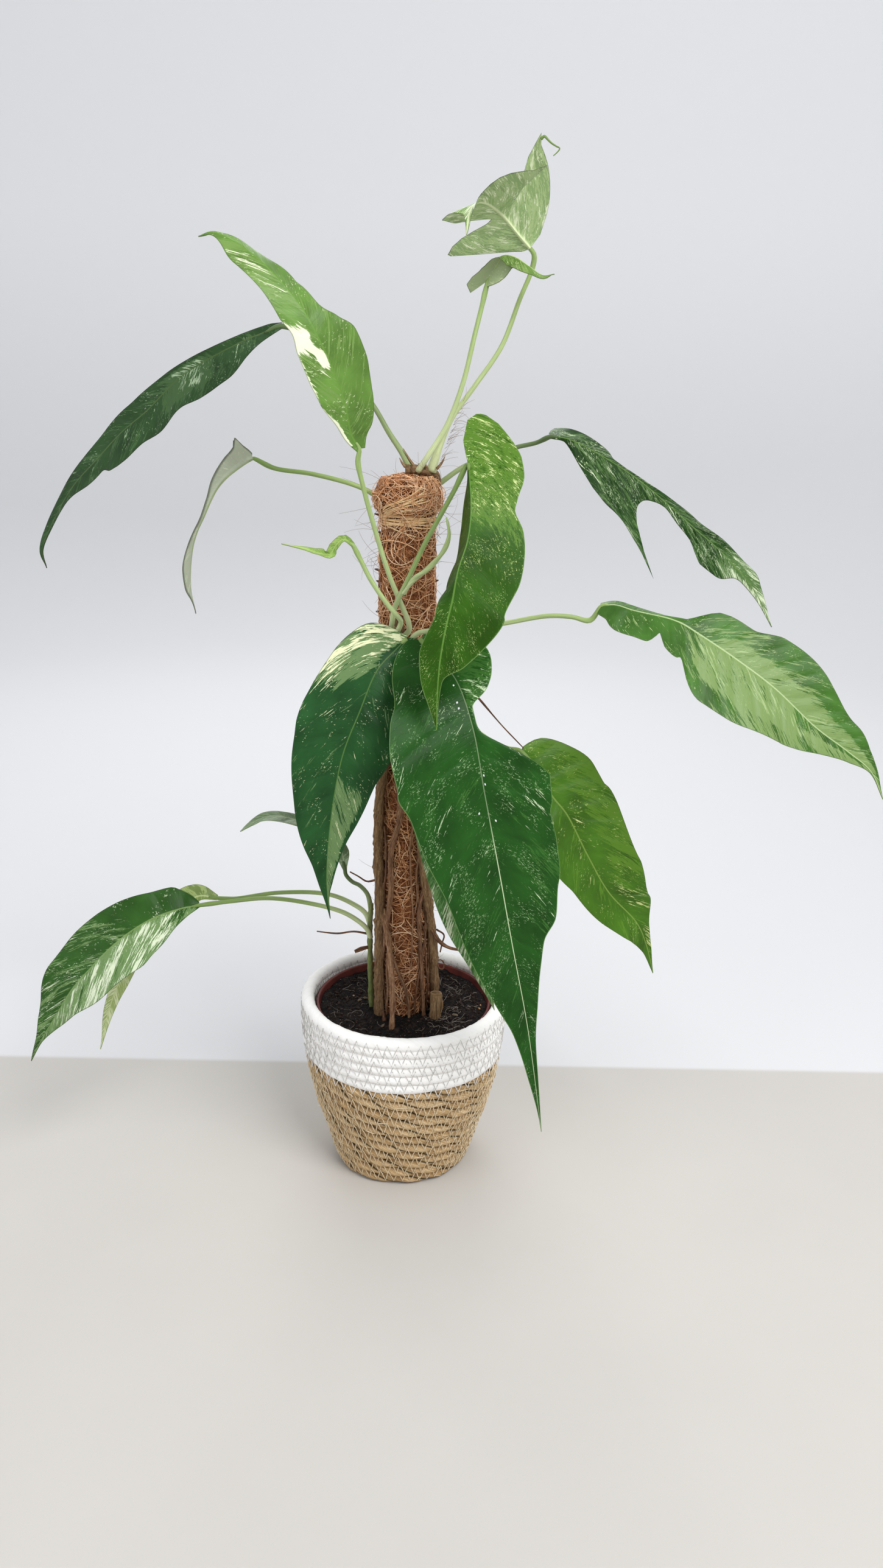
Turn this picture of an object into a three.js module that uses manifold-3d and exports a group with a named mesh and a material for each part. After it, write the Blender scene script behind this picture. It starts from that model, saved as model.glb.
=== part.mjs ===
// Potted variegated Epipremnum pinnatum on a coir pole, in a coiled seagrass basket with a white rope band.
// Millimetres, +Z up, origin at the centre of the basket's foot. The front of the plant looks along -Y.
import * as THREE from 'three';
import { mergeVertices } from 'three/addons/utils/BufferGeometryUtils.js';
import Module from 'manifold-3d';

const wasm = await Module();
wasm.setup();

const V = (x, y, z) => new THREE.Vector3(x, y, z);

// Driving dimensions
const GAP = 0.3;
const BASKET_HEIGHT = 155;
const BAND_FOOT = 105;
const NATURAL_COILS = 11;
const BAND_COILS = 6;
const COIL_RELIEF = 1.6;
const BASKET_WALL = 9;
const LIP_ROUNDING = 2.5;
const BASKET_SIDES = 28;
// Outer radius of the basket at each height
const BASKET_OUTLINE = [[0, 57], [8, 60.5], [36, 68], [60, 75], [85, 81], [115, 86], [135, 88], [155, 88]];

const POT_RIM_RADIUS = 73.5;
const POT_FOOT_RADIUS = 48;
const POT_TOP = 147;
const POT_WALL = 1.2;
const POT_BEAD = 1.4;
const POT_BEAD_HEIGHT = 7;

const SOIL_TOP = 142;
const SOIL_RELIEF = 1.8;
// Radii of the rings of its lumpy top, from the middle to just inside the pot
const SOIL_RINGS = [0, 22, 38, 54];

const POLE_RADIUS = 20.8;
const POLE_TOP = 583;
const POLE_SIDES = 20;
const STAKE_RADIUS = 8;
const STAKE_SIDES = 12;
const HEAD_DEPTH = 12;
const NECK_HEIGHT = 551;
const NECK_RADIUS = 18.6;
const HEAD_RADIUS = 23;
const TIE_WIDTH = 7.2;
const TIE_BULGE = 1.5;
// Radius of the coir at each height of its shaft, between the soil and the neck
const POLE_SHAFT = [[SOIL_TOP, 20.8], [230, 21.4], [340, 20.5], [440, 21.3], [529, 20.8]];

const WELD = 1e-3;
const BLADE_THICKNESS = 0.8;
const STALK_SIDES = 6;
const LEAST_STALK_STEPS = 6;
// How far along the midrib's first stretch a stalk ends
const STALK_SEAT = 0.45;

// Finish of each kind of piece
const FINISH = {
  seagrass: { color: 0xb8976a, roughness: 0.85, metalness: 0 },
  whiteRope: { color: 0xe9e6e0, roughness: 0.9, metalness: 0 },
  potPlastic: { color: 0x7e3a30, roughness: 0.5, metalness: 0 },
  soil: { color: 0x2a211e, roughness: 0.95, metalness: 0 },
  stake: { color: 0x3a3a38, roughness: 0.6, metalness: 0 },
  coir: { color: 0x9a6238, roughness: 0.95, metalness: 0 },
  raffia: { color: 0xc9a36c, roughness: 0.8, metalness: 0 },
  vine: { color: 0x7a6044, roughness: 0.8, metalness: 0 },
  shoot: { color: 0x6f8450, roughness: 0.55, metalness: 0 },
  leaf: { color: 0x3c6e2c, roughness: 0.35, metalness: 0 },
  paleLeaf: { color: 0x9cb06c, roughness: 0.4, metalness: 0 },
};

const part = new THREE.Group();

function addPiece(name, geometry, finish) {
  const mesh = new THREE.Mesh(geometry, new THREE.MeshStandardMaterial(FINISH[finish]));
  mesh.name = name;
  part.add(mesh);
}

// Joins and cuts

function toSolid(geometry) {
  const bare = new THREE.BufferGeometry();
  bare.setAttribute('position', geometry.getAttribute('position'));
  bare.setIndex(geometry.getIndex());
  const merged = mergeVertices(bare, WELD);
  const vertProperties = new Float32Array(merged.getAttribute('position').array);
  const triVerts = new Uint32Array(merged.getIndex().array);
  return new wasm.Manifold(new wasm.Mesh({ numProp: 3, vertProperties, triVerts }));
}

function toGeometry(solid) {
  const mesh = solid.getMesh();
  const geometry = new THREE.BufferGeometry();
  geometry.setAttribute('position', new THREE.BufferAttribute(mesh.vertProperties, mesh.numProp));
  geometry.setIndex(new THREE.BufferAttribute(mesh.triVerts, 1));
  geometry.computeVertexNormals();
  return geometry;
}

// Keeps the largest body of a cut solid, so that a scrap on the far side of a stem is dropped
function largestBody(solid) {
  const bodies = solid.decompose();
  return bodies.reduce((kept, body) => (body.volume() > kept.volume() ? body : kept));
}

function lookUp(table, at) {
  const last = table[table.length - 1];
  if (at <= table[0][0]) return table[0].slice(1);
  if (at >= last[0]) return last.slice(1);
  const k = table.findIndex((row) => row[0] > at);
  const [low, high] = [table[k - 1], table[k]];
  const share = (at - low[0]) / (high[0] - low[0]);
  return low.slice(1).map((value, column) => value + share * (high[column + 1] - value));
}

// A round, tapered stem, stalk or root along a smooth curve. The stations lie evenly by length.
function taperedTube(points, radii, sides, steps, swell = 0) {
  const curve = new THREE.CatmullRomCurve3(points, false, 'centripetal');
  const frames = curve.computeFrenetFrames(steps, false);
  const positions = [];
  const faces = [];
  for (let i = 0; i <= steps; i += 1) {
    const along = i / steps;
    const centre = curve.getPointAt(along);
    const radius = lookUp(radii, along)[0] + swell;
    for (let j = 0; j < sides; j += 1) {
      const turn = (2 * Math.PI * j) / sides;
      const spoke = frames.normals[i].clone().multiplyScalar(radius * Math.cos(turn));
      spoke.addScaledVector(frames.binormals[i], radius * Math.sin(turn));
      positions.push(...centre.clone().add(spoke).toArray());
      if (i < steps) {
        const a = i * sides + j;
        const b = i * sides + ((j + 1) % sides);
        faces.push(a, b, b + sides, a, b + sides, a + sides);
      }
    }
  }
  const top = steps * sides;
  for (let j = 1; j < sides - 1; j += 1) {
    faces.push(0, j + 1, j, top, top + j, top + j + 1);
  }
  const geometry = new THREE.BufferGeometry();
  geometry.setAttribute('position', new THREE.Float32BufferAttribute(positions, 3));
  geometry.setIndex(faces);
  return geometry;
}

const tubeSolid = (run, swell = 0) => toSolid(
  taperedTube(run.points, run.radii, run.sides ?? STALK_SIDES, run.steps ?? 8, swell),
);

// Basket: coils of seagrass and of white rope, each a closed ring of the lathe

const basketRadius = (height) => lookUp(BASKET_OUTLINE, height)[0];

function coilOutline(foot, top, coils, crownTop) {
  const outline = [];
  const pitch = (top - foot) / coils;
  for (let k = 0; k < coils; k += 1) {
    const low = foot + k * pitch;
    outline.push([basketRadius(low) - COIL_RELIEF, low]);
    outline.push([basketRadius(low + pitch / 2), low + pitch / 2]);
  }
  outline.push([basketRadius(top) - (crownTop ? LIP_ROUNDING : COIL_RELIEF), top]);
  return outline;
}

function latheOf(outline, sides) {
  return new THREE.LatheGeometry(outline.map(([radius, height]) => new THREE.Vector2(radius, height)), sides)
    .rotateX(Math.PI / 2);
}

function basketBody() {
  const top = BAND_FOOT - GAP / 2;
  const floor = BASKET_WALL;
  const outer = coilOutline(0, top, NATURAL_COILS, false);
  const heights = [top, top * 0.7, top * 0.35, floor];
  const inner = heights.map((height) => [basketRadius(height) - BASKET_WALL, height]);
  return latheOf([[0, 0], ...outer, ...inner, [0, floor]], BASKET_SIDES);
}

function basketBand() {
  const foot = BAND_FOOT + GAP / 2;
  const outer = coilOutline(foot, BASKET_HEIGHT, BAND_COILS, true);
  const lip = basketRadius(BASKET_HEIGHT) - BASKET_WALL;
  const inside = [
    [lip + LIP_ROUNDING, BASKET_HEIGHT],
    [lip, BASKET_HEIGHT - LIP_ROUNDING],
    [basketRadius(foot) - BASKET_WALL, foot],
  ];
  return latheOf([...outer, ...inside, outer[0]], BASKET_SIDES);
}

// Nursery pot that stands on the basket's floor, with a bead round its rim

const POT_FOOT = BASKET_WALL + GAP;

const potRadius = (height) => {
  const share = (height - POT_FOOT) / (POT_TOP - POT_FOOT);
  return POT_FOOT_RADIUS + share * (POT_RIM_RADIUS - POT_FOOT_RADIUS);
};

function nurseryPot() {
  const beadFoot = POT_TOP - POT_BEAD_HEIGHT;
  const outline = [
    [0, POT_FOOT],
    [POT_FOOT_RADIUS, POT_FOOT],
    [potRadius(beadFoot), beadFoot],
    [potRadius(beadFoot) + POT_BEAD, beadFoot],
    [POT_RIM_RADIUS + POT_BEAD, POT_TOP],
    [POT_RIM_RADIUS - POT_WALL, POT_TOP],
    [potRadius(POT_FOOT + POT_WALL) - POT_WALL, POT_FOOT + POT_WALL],
    [0, POT_FOOT + POT_WALL],
  ];
  return latheOf(outline, BASKET_SIDES);
}

// Pole: a stake inside a wrap of coir, which a raffia tie pulls in to a neck below its head

const POLE_FOOT = POT_FOOT + POT_WALL + GAP;

function coirWrap() {
  const outline = [
    [STAKE_RADIUS + GAP, POLE_FOOT],
    [POLE_RADIUS, POLE_FOOT],
    ...POLE_SHAFT.map(([height, radius]) => [radius, height]),
    [NECK_RADIUS, NECK_HEIGHT - TIE_WIDTH / 2],
    [NECK_RADIUS, NECK_HEIGHT + TIE_WIDTH / 2],
    [HEAD_RADIUS, NECK_HEIGHT + HEAD_DEPTH],
    [HEAD_RADIUS, POLE_TOP - HEAD_DEPTH * 0.8],
    [HEAD_RADIUS * 0.83, POLE_TOP - HEAD_DEPTH * 0.2],
    [HEAD_RADIUS * 0.4, POLE_TOP],
    [0, POLE_TOP],
    [0, POLE_TOP - HEAD_DEPTH],
    [STAKE_RADIUS + GAP, POLE_TOP - HEAD_DEPTH],
    [STAKE_RADIUS + GAP, POLE_FOOT],
  ];
  return latheOf(outline, POLE_SIDES);
}

function poleStake() {
  const height = POLE_TOP - HEAD_DEPTH - GAP - POLE_FOOT;
  return new THREE.CylinderGeometry(STAKE_RADIUS, STAKE_RADIUS, height, STAKE_SIDES)
    .rotateX(Math.PI / 2)
    .translate(0, 0, POLE_FOOT + height / 2);
}

function coirTie() {
  const inner = NECK_RADIUS + GAP;
  const shoulder = inner + TIE_BULGE * 0.8;
  const outline = [
    [inner, NECK_HEIGHT - TIE_WIDTH * 0.5],
    [shoulder, NECK_HEIGHT - TIE_WIDTH * 0.45],
    [inner + TIE_BULGE, NECK_HEIGHT],
    [shoulder, NECK_HEIGHT + TIE_WIDTH * 0.45],
    [inner, NECK_HEIGHT + TIE_WIDTH * 0.5],
    [inner, NECK_HEIGHT - TIE_WIDTH * 0.5],
  ];
  return latheOf(outline, POLE_SIDES);
}

// Stems that climb the pole. A place on the pole is an angle from +X, a height and a reach from the axis.
const onPole = (degrees, height, reach) => {
  const turn = THREE.MathUtils.degToRad(degrees);
  return V(reach * Math.cos(turn), reach * Math.sin(turn), height);
};

const STEMS = {
  vine_front: {
    finish: 'vine',
    main: {
      points: [
        onPole(-140, 108, 26.5), onPole(-140, 150, 26.5), onPole(-141, 190, 26.2), onPole(-140, 240, 26),
        onPole(-145, 290, 26), onPole(-138, 342, 26), onPole(-108, 400, 25.8), onPole(-98, 440, 25.8),
        onPole(-97, 468, 26.2), onPole(-106, 482, 27),
      ],
      radii: [[0, 4.4], [0.5, 4.2], [0.85, 3.8], [1, 3.2]],
      sides: 8,
      steps: 22,
    },
    roots: [
      {
        points: [
          onPole(-118, 380, 25), onPole(-103, 350, 24), onPole(-99, 322, 23.6), onPole(-116, 290, 23.6),
          onPole(-117, 256, 23.6), onPole(-130, 212, 24), onPole(-138, 190, 25),
        ],
        radii: [[0, 2.6], [1, 2.2]],
        steps: 12,
      },
      {
        points: [
          onPole(-138, 236, 25), V(-12.8, -23.5, 215), V(-10.4, -29, 195), V(-8.4, -34, 176),
          V(-8, -38.5, 161), V(-8.5, -43.5, 141), V(-8.5, -47, 124),
        ],
        radii: [[0, 2.2], [0.5, 2.6], [1, 2.2]],
        steps: 8,
      },
      {
        points: [
          onPole(-136, 214, 25), onPole(-118, 202, 23.2), onPole(-101, 184, 23), onPole(-84, 166, 23.4),
          onPole(-78, 148, 25), onPole(-78, 120, 27),
        ],
        radii: [[0, 1.6], [1, 1.3]],
        sides: 5,
        steps: 8,
      },
      {
        points: [onPole(-150, 262, 27), V(-31, -10, 259), V(-38, -9, 263), V(-45, -7, 266)],
        radii: [[0, 1], [1, 0.6]],
        sides: 4,
        steps: 5,
      },
    ],
  },
  vine_back: {
    finish: 'vine',
    main: {
      points: [
        onPole(92, 108, 25.6), onPole(92, 160, 25.6), onPole(100, 240, 25.8), onPole(84, 330, 25.6),
        onPole(94, 420, 25.8), onPole(80, 500, 25.6), onPole(62, 548, 27.5), V(19, 18, 572), V(19, 8, 582.5),
        V(11, -1, 586.5), V(-2, -3, 586.5),
      ],
      radii: [[0, 4.2], [0.8, 3.8], [0.93, 4.6], [1, 4.2]],
      sides: 8,
      steps: 24,
    },
    roots: [
      {
        points: [
          onPole(92, 470, 26), onPole(110, 440, 24.2), onPole(122, 400, 23.6), onPole(112, 352, 23.8),
          onPole(92, 318, 25),
        ],
        radii: [[0, 2], [1, 1.8]],
        sides: 5,
        steps: 8,
      },
      {
        points: [
          onPole(90, 262, 26), onPole(70, 236, 24), onPole(62, 200, 23.4), onPole(66, 156, 24.4),
          onPole(68, 118, 26),
        ],
        radii: [[0, 2.2], [1, 1.8]],
        sides: 5,
        steps: 8,
      },
    ],
  },
  vine_right: {
    finish: 'vine',
    main: {
      points: [
        V(27, -4, 108), V(27, -6, 145), onPole(-18, 176, 27), onPole(-24, 206, 26.4), onPole(-36, 236, 26),
        onPole(-50, 268, 25.8), onPole(-60, 310, 25.8), onPole(-64, 350, 25.8), onPole(-60, 392, 26),
        onPole(-52, 424, 26.4),
      ],
      radii: [[0, 4.2], [0.3, 4], [0.9, 3.6], [1, 3]],
      sides: 8,
      steps: 18,
    },
    roots: [
      {
        points: [V(27, -7, 110), V(27, -18, 126), V(27, -23, 141), V(27.7, -19.5, 163)],
        radii: [[0, 4.6], [0.6, 5.1], [1, 5.3]],
        sides: 8,
        steps: 5,
      },
      {
        points: [onPole(-36, 226, 25), V(30, -16.5, 209), V(38, -15.5, 203), V(49, -14, 200)],
        radii: [[0, 2], [0.4, 1.9], [1, 1.1]],
        sides: 5,
        steps: 6,
      },
      {
        points: [
          onPole(-46, 262, 25), onPole(-58, 240, 23.6), onPole(-54, 210, 23.4), onPole(-50, 176, 24.2),
          onPole(-48, 146, 26), onPole(-48, 120, 28),
        ],
        radii: [[0, 2], [1, 1.6]],
        sides: 5,
        steps: 8,
      },
    ],
  },
  shoot_left: {
    finish: 'shoot',
    main: {
      points: [V(-27, -5, 108), V(-27.5, -5, 150), V(-28.5, -6, 185), V(-28.5, -7, 215), V(-27.5, -7, 238)],
      radii: [[0, 2.6], [1, 2.2]],
      sides: 7,
      steps: 6,
    },
    roots: [
      {
        points: [V(-28.5, -7, 210), V(-42, -11, 214), V(-55, -13, 213), V(-72, -16, 216)],
        radii: [[0, 1], [1, 0.6]],
        sides: 4,
        steps: 6,
      },
      {
        points: [V(-28.5, -6, 198), V(-35, -10, 198), V(-41, -12, 196)],
        radii: [[0, 2], [1, 1.8]],
        sides: 5,
        steps: 3,
      },
    ],
  },
};

function stemSolid(stem, swell = 0) {
  const pieces = [stem.main, ...stem.roots].map((run) => tubeSolid(run, swell));
  return pieces.reduce((joined, piece) => joined.add(piece));
}

// Leaf blades. Lateral veins leave the midrib at the sweep angle and bend forward on their way out.
// Each side's table gives the share of the midrib's length at which a vein starts, and the vein's length.
// Seen on the upper face with the tip up, the first side lies on the left and the second on the right.
const SWEEP = [[0, 118], [0.06, 98], [0.2, 72], [0.5, 58], [0.85, 42], [1, 25]];
const VEIN_BEND = 0.25;
const VEIN_STEPS = 6;
const LEAST_SWEEP = 12;

const LEAVES = {
  leaf_top_lobed: {
    finish: 'paleLeaf',
    stem: 'vine_back',
    stalk: [V(17, 1, 586), V(23, 0, 604), V(31, 2, 623), V(48, 4, 647), V(67, 6, 675), V(79, 9, 707),
      V(87, 10, 727), V(88, 8, 736), V(84, 6, 742)],
    stalkRadii: [[0, 4.4], [0.05, 3.4], [0.1, 2.6], [0.25, 1.9], [1, 1.7]],
    midrib: [V(84, 6, 741), V(75, -1, 749), V(66.5, -8, 757), V(59, -15, 762.5), V(52, -22, 765),
      V(45.5, -29, 764), V(41, -35, 757), V(39, -40, 743)],
    face: [[0, -0.3, 0.8, 0.55], [0.45, -0.3, 0.6, 0.7], [0.8, -0.4, -0.3, 0.9], [1, -0.4, -0.9, 0.3]],
    fold: [[0, 0, 0], [0.3, 2, 0], [0.36, 2, 0], [0.39, -12, 0], [0.42, -25, 0], [0.5, -22, 0], [0.6, 0, 0],
      [1, 0, 0]],
    sweep: [[0, 110], [0.05, 85], [0.2, 58], [0.45, 60], [0.6, 54], [1, 30]],
    sweepLeft: [[0, 110], [0.05, 85], [0.2, 57], [0.3, 56], [0.36, 76], [0.475, 79], [0.51, 74], [0.56, 60],
      [0.65, 42], [1, 25]],
    bend: 0.1,
    left: [[0, 1], [0.026, 11], [0.063, 23], [0.114, 37], [0.16, 49], [0.19, 55], [0.23, 63], [0.261, 54],
      [0.29, 44], [0.33, 30], [0.36, 19], [0.38, 15], [0.41, 15], [0.435, 19], [0.455, 31], [0.47, 56],
      [0.5, 48], [0.56, 29], [0.62, 15], [0.68, 10], [0.8, 5], [1, 0.6]],
    right: [[0, 2], [0.093, 18], [0.13, 32], [0.16, 51], [0.2, 38], [0.26, 26], [0.323, 14], [0.363, 9],
      [0.39, 16], [0.44, 27], [0.5, 32], [0.56, 33], [0.64, 23], [0.75, 9], [0.85, 4], [1, 0.6]],
    runner: {
      points: [V(87, -31.5, 802.5), V(89, -32.5, 804), V(91.5, -32.6, 802), V(94, -32.6, 800),
        V(97, -32.6, 798.3), V(99.5, -32.6, 797), V(98.5, -32.6, 795.2), V(95.5, -32.6, 792.5)],
      radii: [[0, 1], [0.3, 0.8], [1, 0.4]],
      sides: 5,
      steps: 8,
    },
  },
  leaf_top_young: {
    finish: 'paleLeaf',
    stem: 'vine_back',
    stalk: [V(7, -6, 586), V(15, -9, 598), V(28, -7, 619), V(39, -4, 648), V(47, -2, 682), V(52, 1, 703),
      V(54, 3, 712), V(56, 4, 719)],
    midrib: [V(56, 4, 719), V(60, 0, 726), V(65, -5, 734), V(73, -9, 733), V(83, -12, 727), V(93, -12, 721),
      V(101, -10, 722)],
    face: [[0, 0, 1, 0.1], [0.2, -0.2, 0.8, 0.5], [0.4, 0, 0.2, 1], [1, 0, 0, 1]],
    fold: [[0, -80, 5], [0.2, -60, -20], [0.4, -30, -60], [0.8, -10, -40], [1, 0, 0]],
    rib: 0.3,
    sweep: [[0, 158], [0.06, 130], [0.12, 112], [0.25, 85], [0.6, 58], [1, 25]],
    left: [[0, 6], [0.2, 12], [0.4, 10], [0.7, 6], [1, 0.6]],
    right: [[0, 17], [0.04, 18], [0.08, 13], [0.12, 10], [0.3, 9], [0.5, 10], [0.75, 7], [1, 0.6]],
  },
  leaf_upper_left: {
    finish: 'leaf',
    stem: 'vine_front',
    stalk: [V(-2, -27, 466), V(3, -34, 474), V(-3, -40, 493), V(-11, -45, 513), V(-21, -53, 546),
      V(-29, -59, 576), V(-33, -61, 595), V(-32, -62, 604)],
    midrib: [V(-32, -62, 604), V(-37, -65, 613), V(-41, -70, 633), V(-48, -74, 653), V(-57, -77, 673),
      V(-70, -78, 695), V(-94, -74, 720), V(-115, -66, 734), V(-128, -60, 739), V(-138, -55, 737)],
    face: [[0, 0.15, -1, 0.3], [1, 0.1, -1, 0.35]],
    fold: [[0, 5, 5], [0.4, 5, 0], [0.55, 5, -50], [0.9, 5, -40], [1, 0, 0]],
    left: [[0, 3], [0.09, 8], [0.167, 17], [0.253, 20], [0.336, 20], [0.413, 17], [0.466, 20], [0.6, 18],
      [0.715, 18], [0.878, 7], [1, 0.6]],
    right: [[0, 4], [0.014, 6], [0.085, 16], [0.164, 21], [0.245, 27], [0.317, 28], [0.388, 21], [0.466, 15],
      [0.564, 19], [0.683, 13], [0.838, 7], [0.94, 2], [1, 0.6]],
  },
  leaf_far_left: {
    finish: 'leaf',
    stem: 'vine_back',
    stalk: [V(3, -2, 586), V(-5, 3, 599), V(-15, 8, 613), V(-27, 12, 632), V(-51, 16, 660), V(-73, 18, 678),
      V(-94, 15, 686)],
    stalkRadii: [[0, 3.4], [0.1, 2.3], [0.3, 1.9], [1, 1.7]],
    midrib: [V(-94, 15, 686), V(-121, 8, 675), V(-164, -5, 650), V(-190, -12, 625), V(-208, -16, 610),
      V(-226, -20, 591), V(-244, -22, 572), V(-261, -24, 545), V(-270, -24, 525), V(-268, -24, 513)],
    face: [[0, -0.2, -0.8, 0.6], [0.5, -0.35, -0.8, 0.5], [1, -0.5, -0.8, 0.3]],
    fold: [[0, 5, 5], [1, 5, 5]],
    left: [[0, 2], [0.04, 5], [0.096, 12], [0.127, 17], [0.178, 28], [0.255, 32], [0.343, 27], [0.4, 30],
      [0.462, 26], [0.513, 30], [0.578, 25], [0.618, 16], [0.663, 15], [0.79, 5], [0.93, 2], [1, 0.6]],
    right: [[0, 3], [0.039, 6], [0.154, 7], [0.254, 10], [0.328, 13], [0.409, 17], [0.527, 15], [0.655, 12],
      [0.776, 9], [0.945, 4], [1, 0.6]],
  },
  leaf_left_twisted: {
    finish: 'paleLeaf',
    stem: 'vine_back',
    stalk: [V(8, 27, 543), V(-8, 27, 552), V(-21, 18, 563), V(-37, 10, 573), V(-72, 8, 582), V(-101, 6, 586),
      V(-117, 4, 593)],
    midrib: [V(-117, 4, 593), V(-122, 2, 590), V(-129, 0, 585), V(-136, -4, 579), V(-142, -6, 572),
      V(-147, -8, 563), V(-152.5, -9, 551), V(-158.5, -8, 539), V(-163, -6, 525), V(-166, -3, 497),
      V(-163, -2, 477)],
    face: [[0, -0.6, -0.1, 0.8], [0.3, -0.9, -0.05, 0.4], [0.6, -1, -0.1, 0.2], [1, -1, -0.1, 0.1]],
    fold: [[0, 62, 62], [0.3, 66, 66], [0.6, 56, 56], [0.88, 20, 20], [1, 0, 0]],
    left: [[0, 3], [0.05, 18], [0.12, 12], [0.22, 7.5], [0.33, 3.5], [0.46, 2.5], [0.58, 5], [0.7, 10],
      [0.8, 9], [0.9, 4], [1, 0.6]],
    right: [[0, 4], [0.06, 17], [0.12, 12], [0.22, 7.5], [0.33, 3.5], [0.46, 2.5], [0.58, 5], [0.7, 9],
      [0.8, 8], [0.9, 3.5], [1, 0.6]],
  },
  leaf_curled_bud: {
    finish: 'paleLeaf',
    stem: 'vine_front',
    stalk: [V(-8, -27, 463), V(-6, -39, 472), V(-3, -45, 481), V(-7, -52, 488), V(-14, -54, 497),
      V(-25, -53, 513), V(-33, -51, 528), V(-38, -51, 537)],
    midrib: [V(-38, -51, 537), V(-44, -52, 541), V(-50, -52, 536), V(-54, -53, 530), V(-62, -54, 531),
      V(-72, -54, 534), V(-88, -54, 537)],
    face: [[0, 0.2, -0.8, 0.6], [1, 0, -0.6, 0.8]],
    fold: [[0, 30, 30], [0.5, 35, 35], [0.8, 0, 0], [1, 0, 0]],
    left: [[0, 2], [0.2, 4], [0.4, 5], [0.6, 3], [0.85, 1.2], [1, 0.6]],
    right: [[0, 2], [0.2, 4], [0.4, 5], [0.6, 3], [0.85, 1.2], [1, 0.6]],
  },
  leaf_front_folded: {
    finish: 'leaf',
    stem: 'vine_front',
    stalk: [V(-11, -25, 470), V(-10, -36, 478), V(-8, -43, 490), V(2, -53, 513), V(15, -65, 542),
      V(24, -72, 559), V(34, -77, 578), V(43, -80, 596)],
    runner: {
      points: [V(-1, -54, 503), V(6, -61, 514), V(18, -71, 525), V(28, -76, 538), V(31, -77, 548),
        V(29, -75, 560)],
      radii: [[0, 1.6], [0.3, 2], [0.7, 1.8], [1, 0.7]],
      sides: 6,
      steps: 9,
    },
    midrib: [V(43, -80, 596), V(44, -88, 587), V(45, -98, 574), V(45, -105, 563), V(43, -112, 548),
      V(37, -120, 529), V(34, -126, 511), V(31, -129, 498), V(28, -132, 482), V(26, -134, 466),
      V(25, -135, 445), V(25, -135, 424)],
    face: [[0, 0.25, -0.9, 0.4], [0.5, 0.2, -1, 0.2], [1, 0, -1, 0.1]],
    fold: [[0, 0, -90], [0.42, 0, -90], [0.6, 0, -20], [1, 0, 0]],
    rib: 0.2,
    sweep: [[0, 120], [0.15, 95], [0.3, 72], [0.6, 58], [1, 25]],
    sweepLeft: [[0, 180], [0.02, 155], [0.06, 125], [0.15, 95], [0.3, 72], [0.6, 58], [1, 25]],
    left: [[0, 15], [0.005, 36], [0.013, 50], [0.035, 47], [0.062, 44], [0.098, 41], [0.143, 33], [0.17, 31],
      [0.213, 38], [0.257, 42], [0.323, 46], [0.415, 45], [0.551, 36], [0.673, 23], [0.814, 4], [0.904, 2],
      [1, 0.6]],
    right: [[0, 2], [0.062, 6], [0.143, 18], [0.257, 28], [0.4, 26], [0.5, 16], [0.573, 11],
      [0.623, 15], [0.671, 19], [0.757, 17], [0.87, 10], [0.968, 3], [1, 0.6]],
  },
  leaf_upper_right: {
    finish: 'leaf',
    stem: 'vine_back',
    stalk: [V(19, 17, 573), V(27, 17, 579), V(36, 19, 585.5), V(44, 22, 590), V(80, 28, 603), V(96, 26, 607),
      V(107, 20, 612)],
    spacing: 0.007,
    midrib: [V(107, 20, 612), V(118, 18, 611), V(141, 14, 601), V(173, 6, 582), V(211, -2, 552),
      V(239, -8, 529), V(264, -12, 502), V(278, -14, 477)],
    face: [[0, -0.1, -0.8, 0.6], [0.5, 0, -0.85, 0.55], [1, 0.2, -0.9, 0.4]],
    fold: [[0, -40, 0], [0.5, -35, -5], [1, -10, 0]],
    sweep: [[0, 112], [0.05, 88], [0.12, 52], [0.4, 44], [0.85, 42], [1, 25]],
    bend: 0.15,
    left: [[0, 8], [0.02, 22], [0.08, 23], [0.118, 22], [0.2, 9], [0.263, 5], [0.334, 6], [0.4, 14],
      [0.474, 22], [0.6, 19], [0.744, 20], [0.854, 9], [0.925, 5], [1, 0.6]],
    right: [[0, 2], [0.043, 3], [0.07, 8], [0.1, 22], [0.124, 42], [0.2, 52], [0.225, 62], [0.246, 72],
      [0.256, 91], [0.264, 64], [0.274, 42], [0.308, 22], [0.369, 10], [0.44, 5], [0.488, 10], [0.541, 14],
      [0.571, 28], [0.637, 27], [0.786, 7], [0.895, 4], [1, 0.6]],
  },
  leaf_far_right: {
    finish: 'paleLeaf',
    stem: 'vine_front',
    stalk: [V(-5, -27, 452), V(2, -38, 463), V(9, -43, 472), V(18, -47, 475), V(45, -54, 478),
      V(72, -60, 484), V(103, -66, 491), V(120, -68, 491), V(133, -69, 489), V(141, -70, 500)],
    midrib: [V(141, -70, 500), V(150, -72, 501), V(162, -75, 498), V(192, -82, 492), V(209, -86, 483),
      V(235, -92, 467), V(261, -98, 449), V(292, -104, 422), V(315, -106, 406), V(334, -106, 391),
      V(345, -106, 371)],
    face: [[0, 0, -0.75, 0.65], [0.5, 0.05, -0.8, 0.6], [1, 0.2, -0.9, 0.4]],
    fold: [[0, -45, 5], [0.17, -45, 5], [0.25, 5, 5], [1, 5, 5]],
    left: [[0, 4], [0.01, 10], [0.083, 10], [0.15, 9], [0.19, 5], [0.225, 6], [0.244, 15], [0.263, 25],
      [0.306, 28], [0.352, 29], [0.404, 41], [0.478, 44], [0.576, 39], [0.719, 29], [0.906, 7], [1, 0.6]],
    right: [[0, 8], [0.022, 12], [0.069, 21], [0.103, 22], [0.131, 24], [0.154, 18], [0.163, 15], [0.171, 26],
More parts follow.
